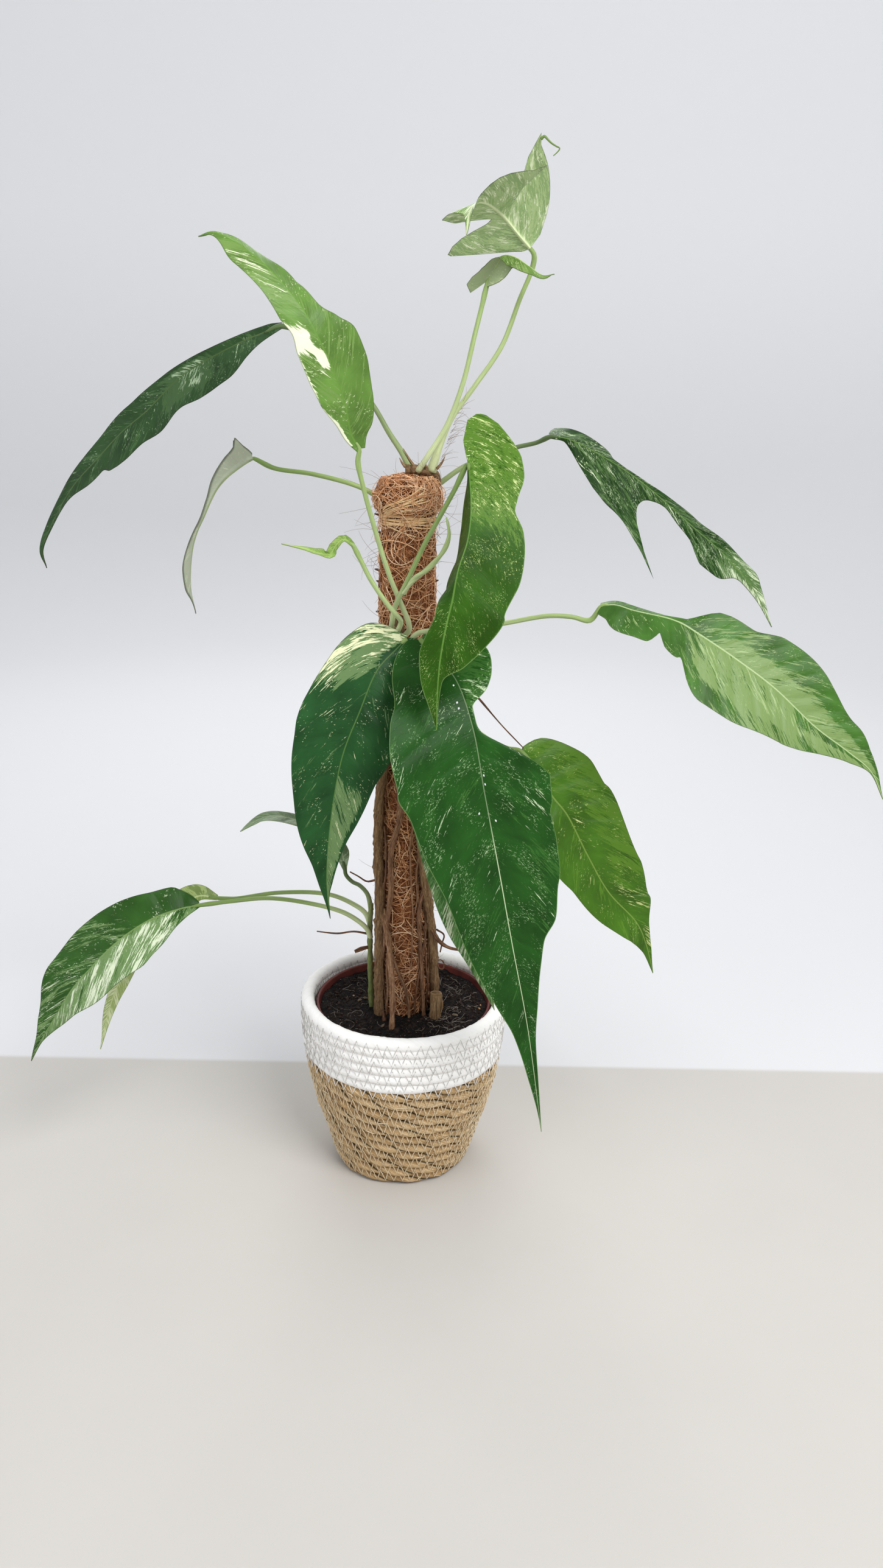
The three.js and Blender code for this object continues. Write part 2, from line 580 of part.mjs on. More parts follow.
      [0.196, 32], [0.22, 29], [0.243, 42], [0.289, 53], [0.357, 53], [0.438, 49], [0.617, 31], [0.706, 19],
      [0.813, 9], [0.925, 2], [1, 0.6]],
  },
  leaf_front_left: {
    finish: 'leaf',
    stem: 'vine_front',
    stalk: [V(-10, -25, 428), V(-14, -40, 440), V(-9, -50, 456), V(-2, -52, 465), V(1, -50, 469)],
    midrib: [V(1, -50, 469), V(-6, -58, 463), V(-19, -70, 450), V(-31, -84, 422), V(-42, -92, 394),
      V(-48, -96, 366), V(-53, -97, 328), V(-55, -96, 294), V(-53, -94, 264)],
    face: [[0, -0.3, -0.85, 0.5], [0.3, -0.25, -1, 0.3], [1, -0.1, -1, 0.1]],
    fold: [[0, -25, 5], [0.3, -20, 4], [0.6, -5, 4], [1, 10, 10]],
    sweep: [[0, 160], [0.05, 122], [0.12, 95], [0.25, 70], [0.5, 58], [0.85, 42], [1, 25]],
    left: [[0, 4], [0.03, 20], [0.1, 30], [0.2, 38], [0.327, 39], [0.43, 34], [0.558, 27], [0.696, 16],
      [0.831, 8], [0.947, 1], [1, 0.6]],
    right: [[0, 4], [0.025, 12], [0.054, 25], [0.085, 32], [0.116, 34], [0.159, 37], [0.21, 43], [0.257, 48],
      [0.358, 43], [0.462, 39], [0.572, 34], [0.681, 25], [0.787, 14], [0.893, 6], [1, 0.6]],
  },
  leaf_front_large: {
    finish: 'leaf',
    stem: 'vine_right',
    stalk: [V(14, -22, 402), V(18, -36, 430), V(19, -46, 455), V(15, -56, 468), V(12, -61, 469)],
    midrib: [V(12, -62, 471), V(26, -80, 460), V(38, -94, 449), V(50, -112, 420), V(59, -124, 377),
      V(71, -131, 320), V(82, -134, 265), V(96, -136, 197), V(110, -134, 108)],
    face: [[0, 0, -0.7, 0.7], [0.3, 0.1, -1, 0.3], [1, 0.1, -1, 0.05]],
    fold: [[0, 8, 8], [0.5, 4, 4], [1, 10, 10]],
    left: [[0, 6], [0.05, 28], [0.097, 31], [0.12, 26], [0.142, 18], [0.17, 4], [0.2, 3.5], [0.215, 6],
      [0.225, 16], [0.241, 43], [0.251, 53], [0.288, 53], [0.318, 50], [0.362, 52], [0.408, 52], [0.45, 48],
      [0.501, 44], [0.563, 30], [0.605, 25], [0.707, 14], [0.806, 6], [0.93, 3], [1, 0.6]],
    right: [[0, 10], [0.012, 17], [0.063, 39], [0.138, 61], [0.173, 68], [0.217, 71], [0.273, 63], [0.34, 59],
      [0.43, 50], [0.548, 42], [0.669, 28], [0.759, 16], [0.868, 8], [0.979, 1], [1, 0.6]],
  },
  leaf_behind_large: {
    finish: 'paleLeaf',
    stem: 'vine_right',
    stalk: [V(15, -20, 388), V(16, -36, 402), V(19, -48, 401)],
    midrib: [V(19, -48, 401), V(25, -60, 380), V(33, -80, 336), V(48, -100, 273), V(60, -109, 237),
      V(72, -114, 200)],
    face: [[0, 0, -0.8, 0.6], [0.5, 0.1, -1, 0.3], [1, 0.1, -1, 0.1]],
    fold: [[0, 5, 5], [1, 5, 5]],
    left: [[0, 4], [0.1, 18], [0.3, 26], [0.55, 22], [0.8, 10], [1, 0.6]],
    right: [[0, 4], [0.1, 18], [0.3, 27], [0.55, 24], [0.8, 12], [1, 0.6]],
  },
  leaf_lower_right: {
    finish: 'leaf',
    stem: 'vine_right',
    stalk: [V(17, -19, 370), V(28, -26, 396), V(42, -27, 400), V(55, -25, 393), V(69, -24, 384),
      V(80, -26, 380), V(90, -30, 379)],
    midrib: [V(90, -30, 379), V(116, -36, 344), V(127, -38, 331), V(145, -42, 298), V(163, -44, 268),
      V(187, -44, 242), V(196, -42, 223), V(204, -40, 196)],
    face: [[0, 0.1, -0.8, 0.6], [0.5, 0.1, -0.95, 0.3], [1, 0.3, -0.95, 0.1]],
    fold: [[0, 5, 5], [1, 5, 5]],
    left: [[0, 4], [0.032, 21], [0.078, 33], [0.145, 43], [0.232, 43], [0.316, 43], [0.446, 43], [0.624, 32],
      [0.777, 11], [0.931, 3], [1, 0.6]],
    right: [[0, 4], [0.05, 20], [0.15, 34], [0.27, 38], [0.386, 34], [0.477, 29], [0.589, 26], [0.685, 24],
      [0.871, 8], [0.961, 3], [1, 0.6]],
  },
  leaf_lower_left: {
    finish: 'leaf',
    stem: 'shoot_left',
    stalk: [V(-28, -7, 207), V(-31, -11, 217), V(-39, -12, 225), V(-52, -13, 233), V(-82, -14, 241),
      V(-112, -16, 245), V(-141, -19, 243), V(-168, -22, 240)],
    midrib: [V(-168, -22, 240), V(-180, -26, 239), V(-201, -34, 234), V(-219, -42, 225), V(-235, -50, 213),
      V(-249, -56, 199), V(-264, -60, 182), V(-277, -62, 161), V(-291, -62, 138), V(-302, -62, 117)],
    face: [[0, -0.1, -0.75, 0.65], [0.5, -0.25, -0.8, 0.5], [1, -0.5, -0.8, 0.3]],
    fold: [[0, 5, 5], [1, 5, 5]],
    left: [[0, 2], [0.106, 14], [0.175, 28], [0.248, 36], [0.356, 34], [0.475, 31], [0.629, 21], [0.794, 8],
      [0.943, 1], [1, 0.6]],
    right: [[0, 3], [0.049, 13], [0.086, 20], [0.137, 21], [0.214, 28], [0.286, 32], [0.382, 35], [0.497, 35],
      [0.681, 25], [0.853, 10], [0.938, 6], [1, 0.6]],
  },
  leaf_lower_left_back: {
    finish: 'paleLeaf',
    stem: 'shoot_left',
    stalk: [V(-28, -7, 217), V(-33, 2, 225), V(-42, 7, 230), V(-64, 10, 238), V(-106, 12, 238),
      V(-147, 13, 231), V(-160, 12, 232)],
    midrib: [V(-160, 12, 232), V(-174, 11, 234), V(-191, 9, 224), V(-210, 6, 208), V(-229, 3, 187),
      V(-243, 0, 159), V(-253, -2, 134), V(-263, -5, 95)],
    face: [[0, -0.1, -0.7, 0.7], [0.5, -0.25, -0.8, 0.5], [1, -0.5, -0.8, 0.3]],
    fold: [[0, -10, 5], [0.2, -50, 5], [0.6, -40, 5], [1, 0, 5]],
    left: [[0, 2], [0.05, 3], [0.2, 9], [0.4, 12], [0.6, 10], [0.8, 6], [0.93, 3], [1, 0.6]],
    right: [[0, 3], [0.036, 6], [0.085, 11], [0.126, 13], [0.3, 15], [0.5, 14], [0.749, 8], [0.931, 3],
      [1, 0.6]],
  },
  leaf_small_back: {
    finish: 'paleLeaf',
    stem: 'shoot_left',
    stalk: [V(-27.5, -7, 232), V(-31, 0, 243), V(-38, 7, 248), V(-45, 11, 250), V(-50, 13, 255),
      V(-51, 14, 260)],
    midrib: [V(-51, 14, 260), V(-54, 16, 274), V(-67, 16, 289), V(-89, 14, 302), V(-114, 10, 307),
      V(-136, 6, 295)],
    face: [[0, -0.3, -0.2, 0.95], [1, 0, -0.25, 0.95]],
    fold: [[0, 5, 5], [1, 5, 5]],
    left: [[0, 2], [0.2, 10], [0.35, 13], [0.5, 12], [0.655, 13], [0.895, 4], [1, 0.6]],
    right: [[0, 2], [0.2, 9], [0.35, 11], [0.55, 9], [0.8, 8], [0.9, 6], [1, 0.6]],
  },
};

function midribFrame(leaf, curve, along) {
  const point = curve.getPointAt(along);
  const tangent = curve.getTangentAt(along);
  const hint = V(...lookUp(leaf.face, along));
  const normal = hint.addScaledVector(tangent, -hint.dot(tangent)).normalize();
  return { point, tangent, normal, across: tangent.clone().cross(normal) };
}

// Points out along one lateral vein, from the midrib to its end at the margin, with the face's normal there
function veinPoints(leaf, frame, along, side) {
  const column = side < 0 ? 0 : 1;
  const reach = lookUp(side < 0 ? leaf.left : leaf.right, along)[0];
  const sweep = lookUp((side < 0 && leaf.sweepLeft) || leaf.sweep, along)[0];
  const fold = THREE.MathUtils.degToRad(lookUp(leaf.fold, along)[column]);
  const outward = frame.across.clone().multiplyScalar(side * Math.cos(fold));
  outward.addScaledVector(frame.normal, Math.sin(fold));
  const normal = frame.normal.clone().multiplyScalar(Math.cos(fold));
  normal.addScaledVector(frame.across, -side * Math.sin(fold));
  const step = reach / VEIN_STEPS;
  const point = frame.point.clone();
  const points = [];
  for (let k = 0; k < VEIN_STEPS; k += 1) {
    const out = (k + 0.5) * step;
    const turn = THREE.MathUtils.degToRad(Math.max(sweep - leaf.bend * out, LEAST_SWEEP));
    point.addScaledVector(frame.tangent, step * Math.cos(turn));
    point.addScaledVector(outward, step * Math.sin(turn));
    if ((k + 1) % (VEIN_STEPS / leaf.cuts) === 0) points.push({ point: point.clone(), normal });
  }
  return points;
}

// Every share of the midrib that a margin table names, and enough others to follow its curve
function stationsOf(leaf) {
  const named = [...leaf.left, ...leaf.right].map((row) => row[0]).sort((a, b) => a - b);
  const kept = [0];
  named.forEach((along) => {
    if (along - kept[kept.length - 1] > leaf.spacing && along < 1 - leaf.spacing) kept.push(along);
  });
  return [...kept, 1];
}

// A closed sheet over rows of points. Each row has the points of its upper face, then of its lower one.
// Both faces are split into triangles alike, so that they can't cross.
function sheetGeometry(rows) {
  const width = rows[0].length;
  const count = width / 2;
  const end = count - 1;
  const faces = [];
  const quad = (k, l, m, n) => faces.push(k, l, m, k, m, n);
  for (let i = 0; i < rows.length - 1; i += 1) {
    const near = i * width;
    const far = near + width;
    for (let j = 0; j < end; j += 1) {
      const [a, b] = [near + j, far + j];
      const [c, d] = [a + count, b + count];
      quad(a, a + 1, b + 1, b);
      faces.push(c, d + 1, c + 1, c, d, d + 1);
    }
    quad(near, far, far + count, near + count);
    quad(far + end, near + end, near + count + end, far + count + end);
  }
  const tip = (rows.length - 1) * width;
  for (let j = 0; j < end; j += 1) {
    quad(j + 1, j, count + j, count + j + 1);
    quad(tip + j, tip + j + 1, tip + count + j + 1, tip + count + j);
  }
  const positions = rows.flat().flatMap((point) => point.toArray());
  const geometry = new THREE.BufferGeometry();
  geometry.setAttribute('position', new THREE.Float32BufferAttribute(positions, 3));
  geometry.setIndex(faces);
  return geometry;
}

function bladeSolid(leaf) {
  const curve = new THREE.CatmullRomCurve3(leaf.midrib, false, 'centripetal');
  const rows = stationsOf(leaf).map((along) => {
    const frame = midribFrame(leaf, curve, along);
    const left = veinPoints(leaf, frame, along, -1).reverse();
    const row = [...left, frame, ...veinPoints(leaf, frame, along, 1)];
    const rib = leaf.rib * (1 - along);
    const upper = row.map(({ point, normal }) => point.clone().addScaledVector(normal, BLADE_THICKNESS / 2));
    const lower = row.map(({ point, normal }) => {
      const depth = BLADE_THICKNESS / 2 + (point === frame.point ? rib : 0);
      return point.clone().addScaledVector(normal, -depth);
    });
    return [...upper, ...lower];
  });
  return toSolid(sheetGeometry(rows));
}

// The stalk runs on under the blade's base, where it passes into the midrib
function leafStalk(leaf) {
  const [base, next] = leaf.midrib;
  const seat = base.clone().lerp(next, STALK_SEAT);
  const steps = Math.max(LEAST_STALK_STEPS, leaf.stalk.length + 1);
  return { points: [...leaf.stalk.slice(0, -1), base, seat], radii: leaf.stalkRadii, steps };
}

function leafSolid(leaf) {
  let solid = bladeSolid(leaf).add(tubeSolid(leafStalk(leaf)));
  if (leaf.runner) solid = solid.add(tubeSolid(leaf.runner));
  return largestBody(solid.subtract(stemSolid(STEMS[leaf.stem], GAP)));
}

const LEAF_DEFAULTS = {
  sweep: SWEEP,
  bend: VEIN_BEND,
  spacing: 0.012,
  cuts: 2,
  rib: 1.1,
  stalkRadii: [[0, 2.3], [0.3, 1.9], [1, 1.7]],
};

// Soil with a lumpy top, plain holes for the pole and the stems, and GAP of air to the pot

function soilSolid() {
  const rings = [...SOIL_RINGS, potRadius(SOIL_TOP) - POT_WALL - GAP];
  const sides = BASKET_SIDES;
  const foot = POLE_FOOT;
  const positions = [0, 0, SOIL_TOP];
  const faces = [];
  rings.slice(1).forEach((radius, i) => {
    for (let j = 0; j < sides; j += 1) {
      const turn = (2 * Math.PI * j) / sides;
      const lump = Math.sin(3 * turn + i) * Math.cos(5 * turn - 2 * i) + 0.6 * Math.sin(7 * turn + 3 * i);
      const edge = i === rings.length - 2 ? 0 : 1;
      const height = SOIL_TOP + SOIL_RELIEF * lump * edge;
      positions.push(radius * Math.cos(turn), radius * Math.sin(turn), height);
    }
  });
  const footRadius = potRadius(foot) - POT_WALL - GAP;
  for (let j = 0; j < sides; j += 1) {
    const turn = (2 * Math.PI * j) / sides;
    positions.push(footRadius * Math.cos(turn), footRadius * Math.sin(turn), foot);
  }
  positions.push(0, 0, foot);
  const centreFoot = positions.length / 3 - 1;
  const ringStart = (i) => 1 + i * sides;
  for (let j = 0; j < sides; j += 1) {
    const k = (j + 1) % sides;
    faces.push(0, ringStart(0) + j, ringStart(0) + k);
    for (let i = 0; i < rings.length - 1; i += 1) {
      const [a, b] = [ringStart(i), ringStart(i + 1)];
      faces.push(a + j, b + j, b + k, a + j, b + k, a + k);
    }
    faces.push(centreFoot, ringStart(rings.length - 1) + k, ringStart(rings.length - 1) + j);
  }
  const geometry = new THREE.BufferGeometry();
  geometry.setAttribute('position', new THREE.Float32BufferAttribute(positions, 3));
  geometry.setIndex(faces);
  const poleHole = new THREE.CylinderGeometry(POLE_RADIUS + GAP, POLE_RADIUS + GAP, POLE_TOP, POLE_SIDES)
    .rotateX(Math.PI / 2)
    .translate(0, 0, POLE_TOP / 2);
  let solid = toSolid(geometry).subtract(toSolid(poleHole));
  Object.values(STEMS).forEach((stem) => {
    solid = solid.subtract(stemSolid(stem, GAP));
  });
  return largestBody(solid);
}

// The stems press lightly into the coir
function coirSolid() {
  let solid = toSolid(coirWrap());
  Object.values(STEMS).forEach((stem) => {
    solid = solid.subtract(stemSolid(stem, GAP));
  });
  return largestBody(solid);
}

addPiece('basket_natural', basketBody(), 'seagrass');
addPiece('basket_white_band', basketBand(), 'whiteRope');
addPiece('nursery_pot', nurseryPot(), 'potPlastic');
addPiece('soil', toGeometry(soilSolid()), 'soil');
addPiece('pole_stake', poleStake(), 'stake');
addPiece('pole_coir', toGeometry(coirSolid()), 'coir');
addPiece('coir_tie', coirTie(), 'raffia');
Object.entries(STEMS).forEach(([name, stem]) => addPiece(name, toGeometry(stemSolid(stem)), stem.finish));
Object.entries(LEAVES).forEach(([name, leaf]) => {
  addPiece(name, toGeometry(leafSolid({ ...LEAF_DEFAULTS, ...leaf })), leaf.finish);
});

export default part;
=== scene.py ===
"""A variegated Epipremnum pinnatum that climbs a coir pole, in a nursery pot inside a coiled seagrass basket."""
import math

import bpy
import numpy as np
from mathutils import Matrix, Vector, noise


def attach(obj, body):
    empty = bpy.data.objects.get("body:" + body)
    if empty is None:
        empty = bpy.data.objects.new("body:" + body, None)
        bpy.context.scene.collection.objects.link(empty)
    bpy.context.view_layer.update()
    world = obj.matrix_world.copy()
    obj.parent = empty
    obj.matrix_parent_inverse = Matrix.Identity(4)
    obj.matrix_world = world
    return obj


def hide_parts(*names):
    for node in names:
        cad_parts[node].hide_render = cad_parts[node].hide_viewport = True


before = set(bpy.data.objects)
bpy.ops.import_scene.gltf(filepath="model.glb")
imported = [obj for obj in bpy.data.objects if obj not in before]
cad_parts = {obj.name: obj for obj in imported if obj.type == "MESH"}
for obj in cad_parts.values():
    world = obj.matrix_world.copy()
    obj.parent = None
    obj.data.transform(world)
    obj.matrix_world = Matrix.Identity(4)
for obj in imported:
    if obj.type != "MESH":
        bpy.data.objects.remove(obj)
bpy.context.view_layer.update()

# Camera
# A phone held upright about a metre in front of the plant, level with its middle and tilted down.
# Its place and focal length are measured on the photograph.
PHOTO_FOCAL = 1946
PHOTO_LONG_SIDE = 2576
CAMERA_PLACE = Vector((0.029, -0.911, 0.639))
CAMERA_TILT = math.radians(18.1)
CAMERA_ROLL = math.radians(1.07)

camera_data = bpy.data.cameras.new("camera")
camera_data.sensor_width = 36.0
camera_data.lens = camera_data.sensor_width * PHOTO_FOCAL / PHOTO_LONG_SIDE
camera = bpy.data.objects.new("camera", camera_data)
bpy.context.scene.collection.objects.link(camera)
bpy.context.scene.camera = camera
look = Vector((0, math.cos(CAMERA_TILT), -math.sin(CAMERA_TILT)))
level = Vector((1, 0, 0))
rise = level.cross(look)
camera_right = level * math.cos(CAMERA_ROLL) + rise * math.sin(CAMERA_ROLL)
camera_up = rise * math.cos(CAMERA_ROLL) - level * math.sin(CAMERA_ROLL)
camera_turn = Matrix((camera_right, camera_up, -look)).transposed().to_4x4()
camera.matrix_world = Matrix.Translation(CAMERA_PLACE) @ camera_turn

# Floor and studio
# A pale floor that curves up into a round bowl, lit by soft boxes. Round the basket it is warm, like the
# photograph's table, up to the line where that meets the wall, and farther off it has the wall's cool tone.
FLOOR_RADIUS = 2.2
BOWL_RADIUS = 2.0
FLOOR_DROP = 0.0003
FLOOR_SIDES = 128
FLOOR_BACK_EDGE = 0.136
EDGE_BLUR = 0.004
TABLE_REACH = 0.7
DRY_SPECULAR = 0.2


def tint(red, green, blue):
    """A colour as it is read on a screen, 0 to 255, as the linear colour that a shader takes."""
    share = np.array([red, green, blue]) / 255
    linear = np.where(share <= 0.04045, share / 12.92, ((share + 0.055) / 1.055) ** 2.4)
    return (*linear.tolist(), 1.0)


def node(kind, inputs, tree=None, **settings):
    """A shader node with its settings, and each input set to a value or joined to another node's socket.
    It goes into the tree of those sockets, or else into the one that is given."""
    sockets = [value for value in inputs.values() if isinstance(value, bpy.types.NodeSocket)]
    tree = tree or sockets[0].id_data
    made = tree.nodes.new("ShaderNode" + kind)
    for name, value in settings.items():
        setattr(made, name, value)
    for name, value in inputs.items():
        if value in sockets:
            tree.links.new(value, made.inputs[name])
        else:
            made.inputs[name].default_value = value
    return made


def maths(operation, first, second=0.0):
    """What one operation makes of two values."""
    return node("Math", {0: first, 1: second}, operation=operation).outputs[0]


def times(first, second):
    """The product of two values."""
    return maths("MULTIPLY", first, second)


def span(value, low, high, to_low=0.0, to_high=1.0):
    """A value carried from one range to another, and held at its ends."""
    inputs = {0: value, 1: low, 2: high, 3: to_low, 4: to_high}
    return node("MapRange", inputs, interpolation_type="SMOOTHSTEP").outputs[0]


def cloud(place, scale, detail=2.0, roughness=0.5, distortion=0.0):
    """A cloudy value over a place."""
    inputs = {"Vector": place, "Scale": scale, "Detail": detail, "Roughness": roughness, "Distortion": distortion}
    return node("TexNoise", inputs).outputs[0]


def parts_of(vector):
    """The three parts of a vector."""
    return node("SeparateXYZ", {0: vector}).outputs


def own_place(tree):
    """The surface's place in space."""
    return node("NewGeometry", {}, tree).outputs["Position"]


def mixed(share, first, second, blend="MIX"):
    """The colour between two colours, or the second laid over the first. Each is a socket or a screen colour."""
    first, second = (tint(*colour) if isinstance(colour, tuple) else colour for colour in (first, second))
    return node("Mix", {0: share, 6: first, 7: second}, data_type="RGBA", blend_type=blend).outputs[2]


def bare_finish(name, **sockets):
    """A material with its shader's plain sockets set, and its node tree."""
    material = bpy.data.materials.new(name)
    material.use_nodes = True
    shader = material.node_tree.nodes["Principled BSDF"]
    shader.inputs["Specular IOR Level"].default_value = DRY_SPECULAR
    for socket, value in sockets.items():
        shader.inputs[socket.replace("_", " ")].default_value = value
    return material, material.node_tree


def paint(colour, height=None, depth=0.0, strength=1.0, rough=None):
    """Lays a colour over a surface, and where they are given relief of a depth in metres, and a roughness."""
    tree = colour.id_data
    shader = tree.nodes["Principled BSDF"]
    tree.links.new(colour, shader.inputs["Base Color"])
    if height is not None:
        bump = node("Bump", {"Height": height, "Distance": depth, "Strength": strength})
        tree.links.new(bump.outputs[0], shader.inputs["Normal"])
    if rough is not None:
        tree.links.new(rough, shader.inputs["Roughness"])


def shaped(name, points, faces, finish, smooth=True):
    """A piece from its points, in metres, and its faces."""
    mesh = bpy.data.meshes.new(name)
    mesh.from_pydata(points, [], faces)
    if smooth:
        mesh.shade_smooth()
    mesh.materials.append(finish)
    made = bpy.data.objects.new(name, mesh)
    bpy.context.scene.collection.objects.link(made)
    return made


def ring_faces(rows, sides):
    """The faces between rings of points, each ring next to the one before."""
    return [
        (i * sides + j, i * sides + (j + 1) % sides, (i + 1) * sides + (j + 1) % sides, (i + 1) * sides + j)
        for i in range(rows - 1) for j in range(sides)
    ]


def about(reach, turn, height):
    """Points at a reach from the upright axis, a turn round it and a height."""
    return np.stack(np.broadcast_arrays(reach * np.cos(turn), reach * np.sin(turn), height), -1)


def turned(name, outline, sides, finish):
    """A surface turned round the upright axis. The outline is rows of radius and height, in metres."""
    turns = 2 * np.pi * np.arange(sides) / sides
    radius, height = np.array(outline).T
    points = about(radius[:, None], turns, height[:, None]).reshape(-1, 3)
    return shaped(name, points.tolist(), ring_faces(len(outline), sides), finish)


curve_up = [
    (FLOOR_RADIUS + BOWL_RADIUS * math.sin(turn), BOWL_RADIUS * (1 - math.cos(turn)))
    for turn in np.linspace(0, math.pi / 2, 24)
]
floor_outline = [(0.0001, 0), *[(FLOOR_RADIUS * k / 12, 0) for k in range(1, 12)], *curve_up, (4.2, 4.4)]
floor_finish, tree = bare_finish("pale_floor", Roughness=0.75)
floor_place = own_place(tree)
floor_parts = parts_of(floor_place)
before_edge = span(floor_parts[1], FLOOR_BACK_EDGE - EDGE_BLUR, FLOOR_BACK_EDGE + EDGE_BLUR, 1.0, 0.0)
off_middle = node("VectorMath", {0: floor_place}, operation="LENGTH").outputs["Value"]
table_share = times(before_edge, span(off_middle, TABLE_REACH, 2 * TABLE_REACH, 1.0, 0.0))
table_tone = mixed(cloud(floor_place, 6.0, 4.0), (198, 194, 188), (205, 201, 195))
# Painted light: the wall's cool tone runs lighter higher up the bowl.
wall_tone_and_painted_light = mixed(span(floor_parts[2], 0.2, 1.4), (222, 222, 223), (236, 236, 237))
paint(mixed(table_share, wall_tone_and_painted_light, table_tone))
floor_outline = [(radius, height - FLOOR_DROP) for radius, height in floor_outline]
turned("studio_floor", floor_outline, FLOOR_SIDES, floor_finish)

for light_name, light_place, light_aim, width, power, colour in (
    ("key_light", (0.9, -1.3, 2.0), (0, 0, 0.35), 1.2, 42, (1, 1, 1)),
    ("fill_light", (-1.7, -1.2, 1.3), (0, 0, 0.35), 1.6, 10, (0.97, 0.98, 1)),
    ("back_light", (-0.3, 1.7, 1.9), (0, 0, 0.4), 1.6, 16, (0.98, 0.99, 1)),
    ("wall_light", (0.6, 1.3, 2.8), (0.4, 4.2, 1.9), 2.0, 22, (1, 1, 1)),
):
    light_data = bpy.data.lights.new(light_name, "AREA")
    light_data.size, light_data.energy, light_data.color = width, power, colour
    light = bpy.data.objects.new(light_name, light_data)
    light.location = light_place
    light.rotation_euler = (Vector(light_aim) - Vector(light_place)).to_track_quat("-Z", "Y").to_euler()
    bpy.context.scene.collection.objects.link(light)
studio_world = bpy.data.worlds.new("studio_world")
studio_world.use_nodes = True
world_light = studio_world.node_tree.nodes["Background"].inputs
world_light[0].default_value, world_light[1].default_value = (0.93, 0.96, 1, 1), 0.6
bpy.context.scene.world = studio_world
bpy.context.scene.view_settings.view_transform = "Standard"

# Seagrass coils of the basket
# Two-ply cords of dried seagrass lie coil on coil, from a flat spiral under the pot up to the white band.
# Each coil is sewn to the one below it with a zigzag of straw-coloured thread.
BASKET_OUTLINE = [(0, 57), (8, 60.5), (36, 68), (60, 75), (85, 81), (115, 86), (135, 88), (155, 88)]
BAND_FOOT = 105
NATURAL_COILS = 11
COIL_RADIUS = 5.0
FOOT_COIL_RADIUS = 4.4
FOOT_COIL_HEIGHT = 5.3
COIL_TWIST = 54.0
STITCH_PITCH = 3.7
STITCH_RADIUS = 0.38
FLOOR_RINGS = 5
FIRST_RING = 5.5
RING_PITCH = 9.6
STITCH_REACH = 1.4
LOOSE_STRAWS = 60

luck = np.random.default_rng(11)


def belongs(piece, slot, *nodes):
    """The piece rides the plant, and stands for the part's nodes where they are given. Its slot is not used."""
    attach(piece, "root")
    if nodes:
        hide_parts(*nodes)


def keep(piece, label, values):
    """Keeps a value or a vector at each point of a piece, for its material to read."""
    kind, field = ("FLOAT_VECTOR", "vector") if values.ndim > 1 else ("FLOAT", "value")
    made = piece.data.attributes.new(label, kind, "POINT")
    made.data.foreach_set(field, values.astype(np.float32).ravel())


class Bundle:
    """Gathers strands of one kind into a single mesh. Points are in millimetres.
    Each keeps its place in the straightened strand, as along, and two ways across, and the strand's tone."""

    def __init__(self):
        self.points, self.faces, self.places, self.tones, self.count = [], [], [], [], 0

    def lay(self, path, radius, sides=3, tone=0.5, plies=0, crease=0.0, twist=0.0, outward=None, phase=0.0):
        """Adds a strand along a path. It is closed to a ring where its outward side is given."""
        path = np.asarray(path, float)
        count, closed = len(path), outward is not None
        tangent = np.roll(path, -1, 0) - np.roll(path, 1, 0) if closed else np.gradient(path, axis=0)
        tangent /= np.maximum(np.linalg.norm(tangent, axis=1), 1e-9)[:, None]
        if closed:
            normal = outward - tangent * np.sum(outward * tangent, axis=1)[:, None]
            normal /= np.linalg.norm(normal, axis=1)[:, None]
        else:
            normal = np.zeros_like(path)
            start = np.cross(tangent[0], (0.3, 0.2, 0.93))
            normal[0] = start / np.linalg.norm(start)
            for i in range(1, count):
                carried = normal[i - 1] - tangent[i] * (normal[i - 1] @ tangent[i])
                normal[i] = carried / max(np.linalg.norm(carried), 1e-9)
        binormal = np.cross(tangent, normal)
        along = np.concatenate([[0], np.cumsum(np.linalg.norm(np.diff(path, axis=0), axis=1))])[:, None]
        around = 2 * np.pi * np.arange(sides) / sides
        turn = around[None] - twist * along + phase
        width = np.broadcast_to(np.asarray(radius, float).reshape(-1, 1), (count, 1))
        shape = 1 - crease * (1 - np.abs(np.cos(plies / 2 * turn))) if plies else np.ones_like(turn)
        ring = np.cos(around)[None, :, None] * normal[:, None] + np.sin(around)[None, :, None] * binormal[:, None]
        self.points.append((path[:, None] + (width * shape)[..., None] * ring).reshape(-1, 3))
        place = np.stack([np.broadcast_to(along, turn.shape), width * np.cos(turn), width * np.sin(turn)], -1)
        self.places.append(place.reshape(-1, 3))
        self.tones.append(np.repeat(np.broadcast_to(tone, count), sides))
        rows = np.arange(count if closed else count - 1)[:, None]
        columns = np.arange(sides)[None]
        here, after, beside = rows * sides, (rows + 1) % count * sides, (columns + 1) % sides
        quads = np.stack([here + columns, here + beside, after + beside, after + columns], -1)
        self.faces += (quads.reshape(-1, 4) + self.count).tolist()
        if not closed:
            last = self.count + (count - 1) * sides
            self.faces.append(list(range(self.count + sides - 1, self.count - 1, -1)))
            self.faces.append(list(range(last, last + sides)))
        self.count += count * sides

    def piece(self, name, finish, slot, *nodes):
        """Makes the strands one piece."""
        made = shaped(name, (np.concatenate(self.points) / 1000).tolist(), self.faces, finish)
        keep(made, "strand", np.concatenate(self.places))
        keep(made, "tone", np.concatenate(self.tones))
        belongs(made, slot, *nodes)


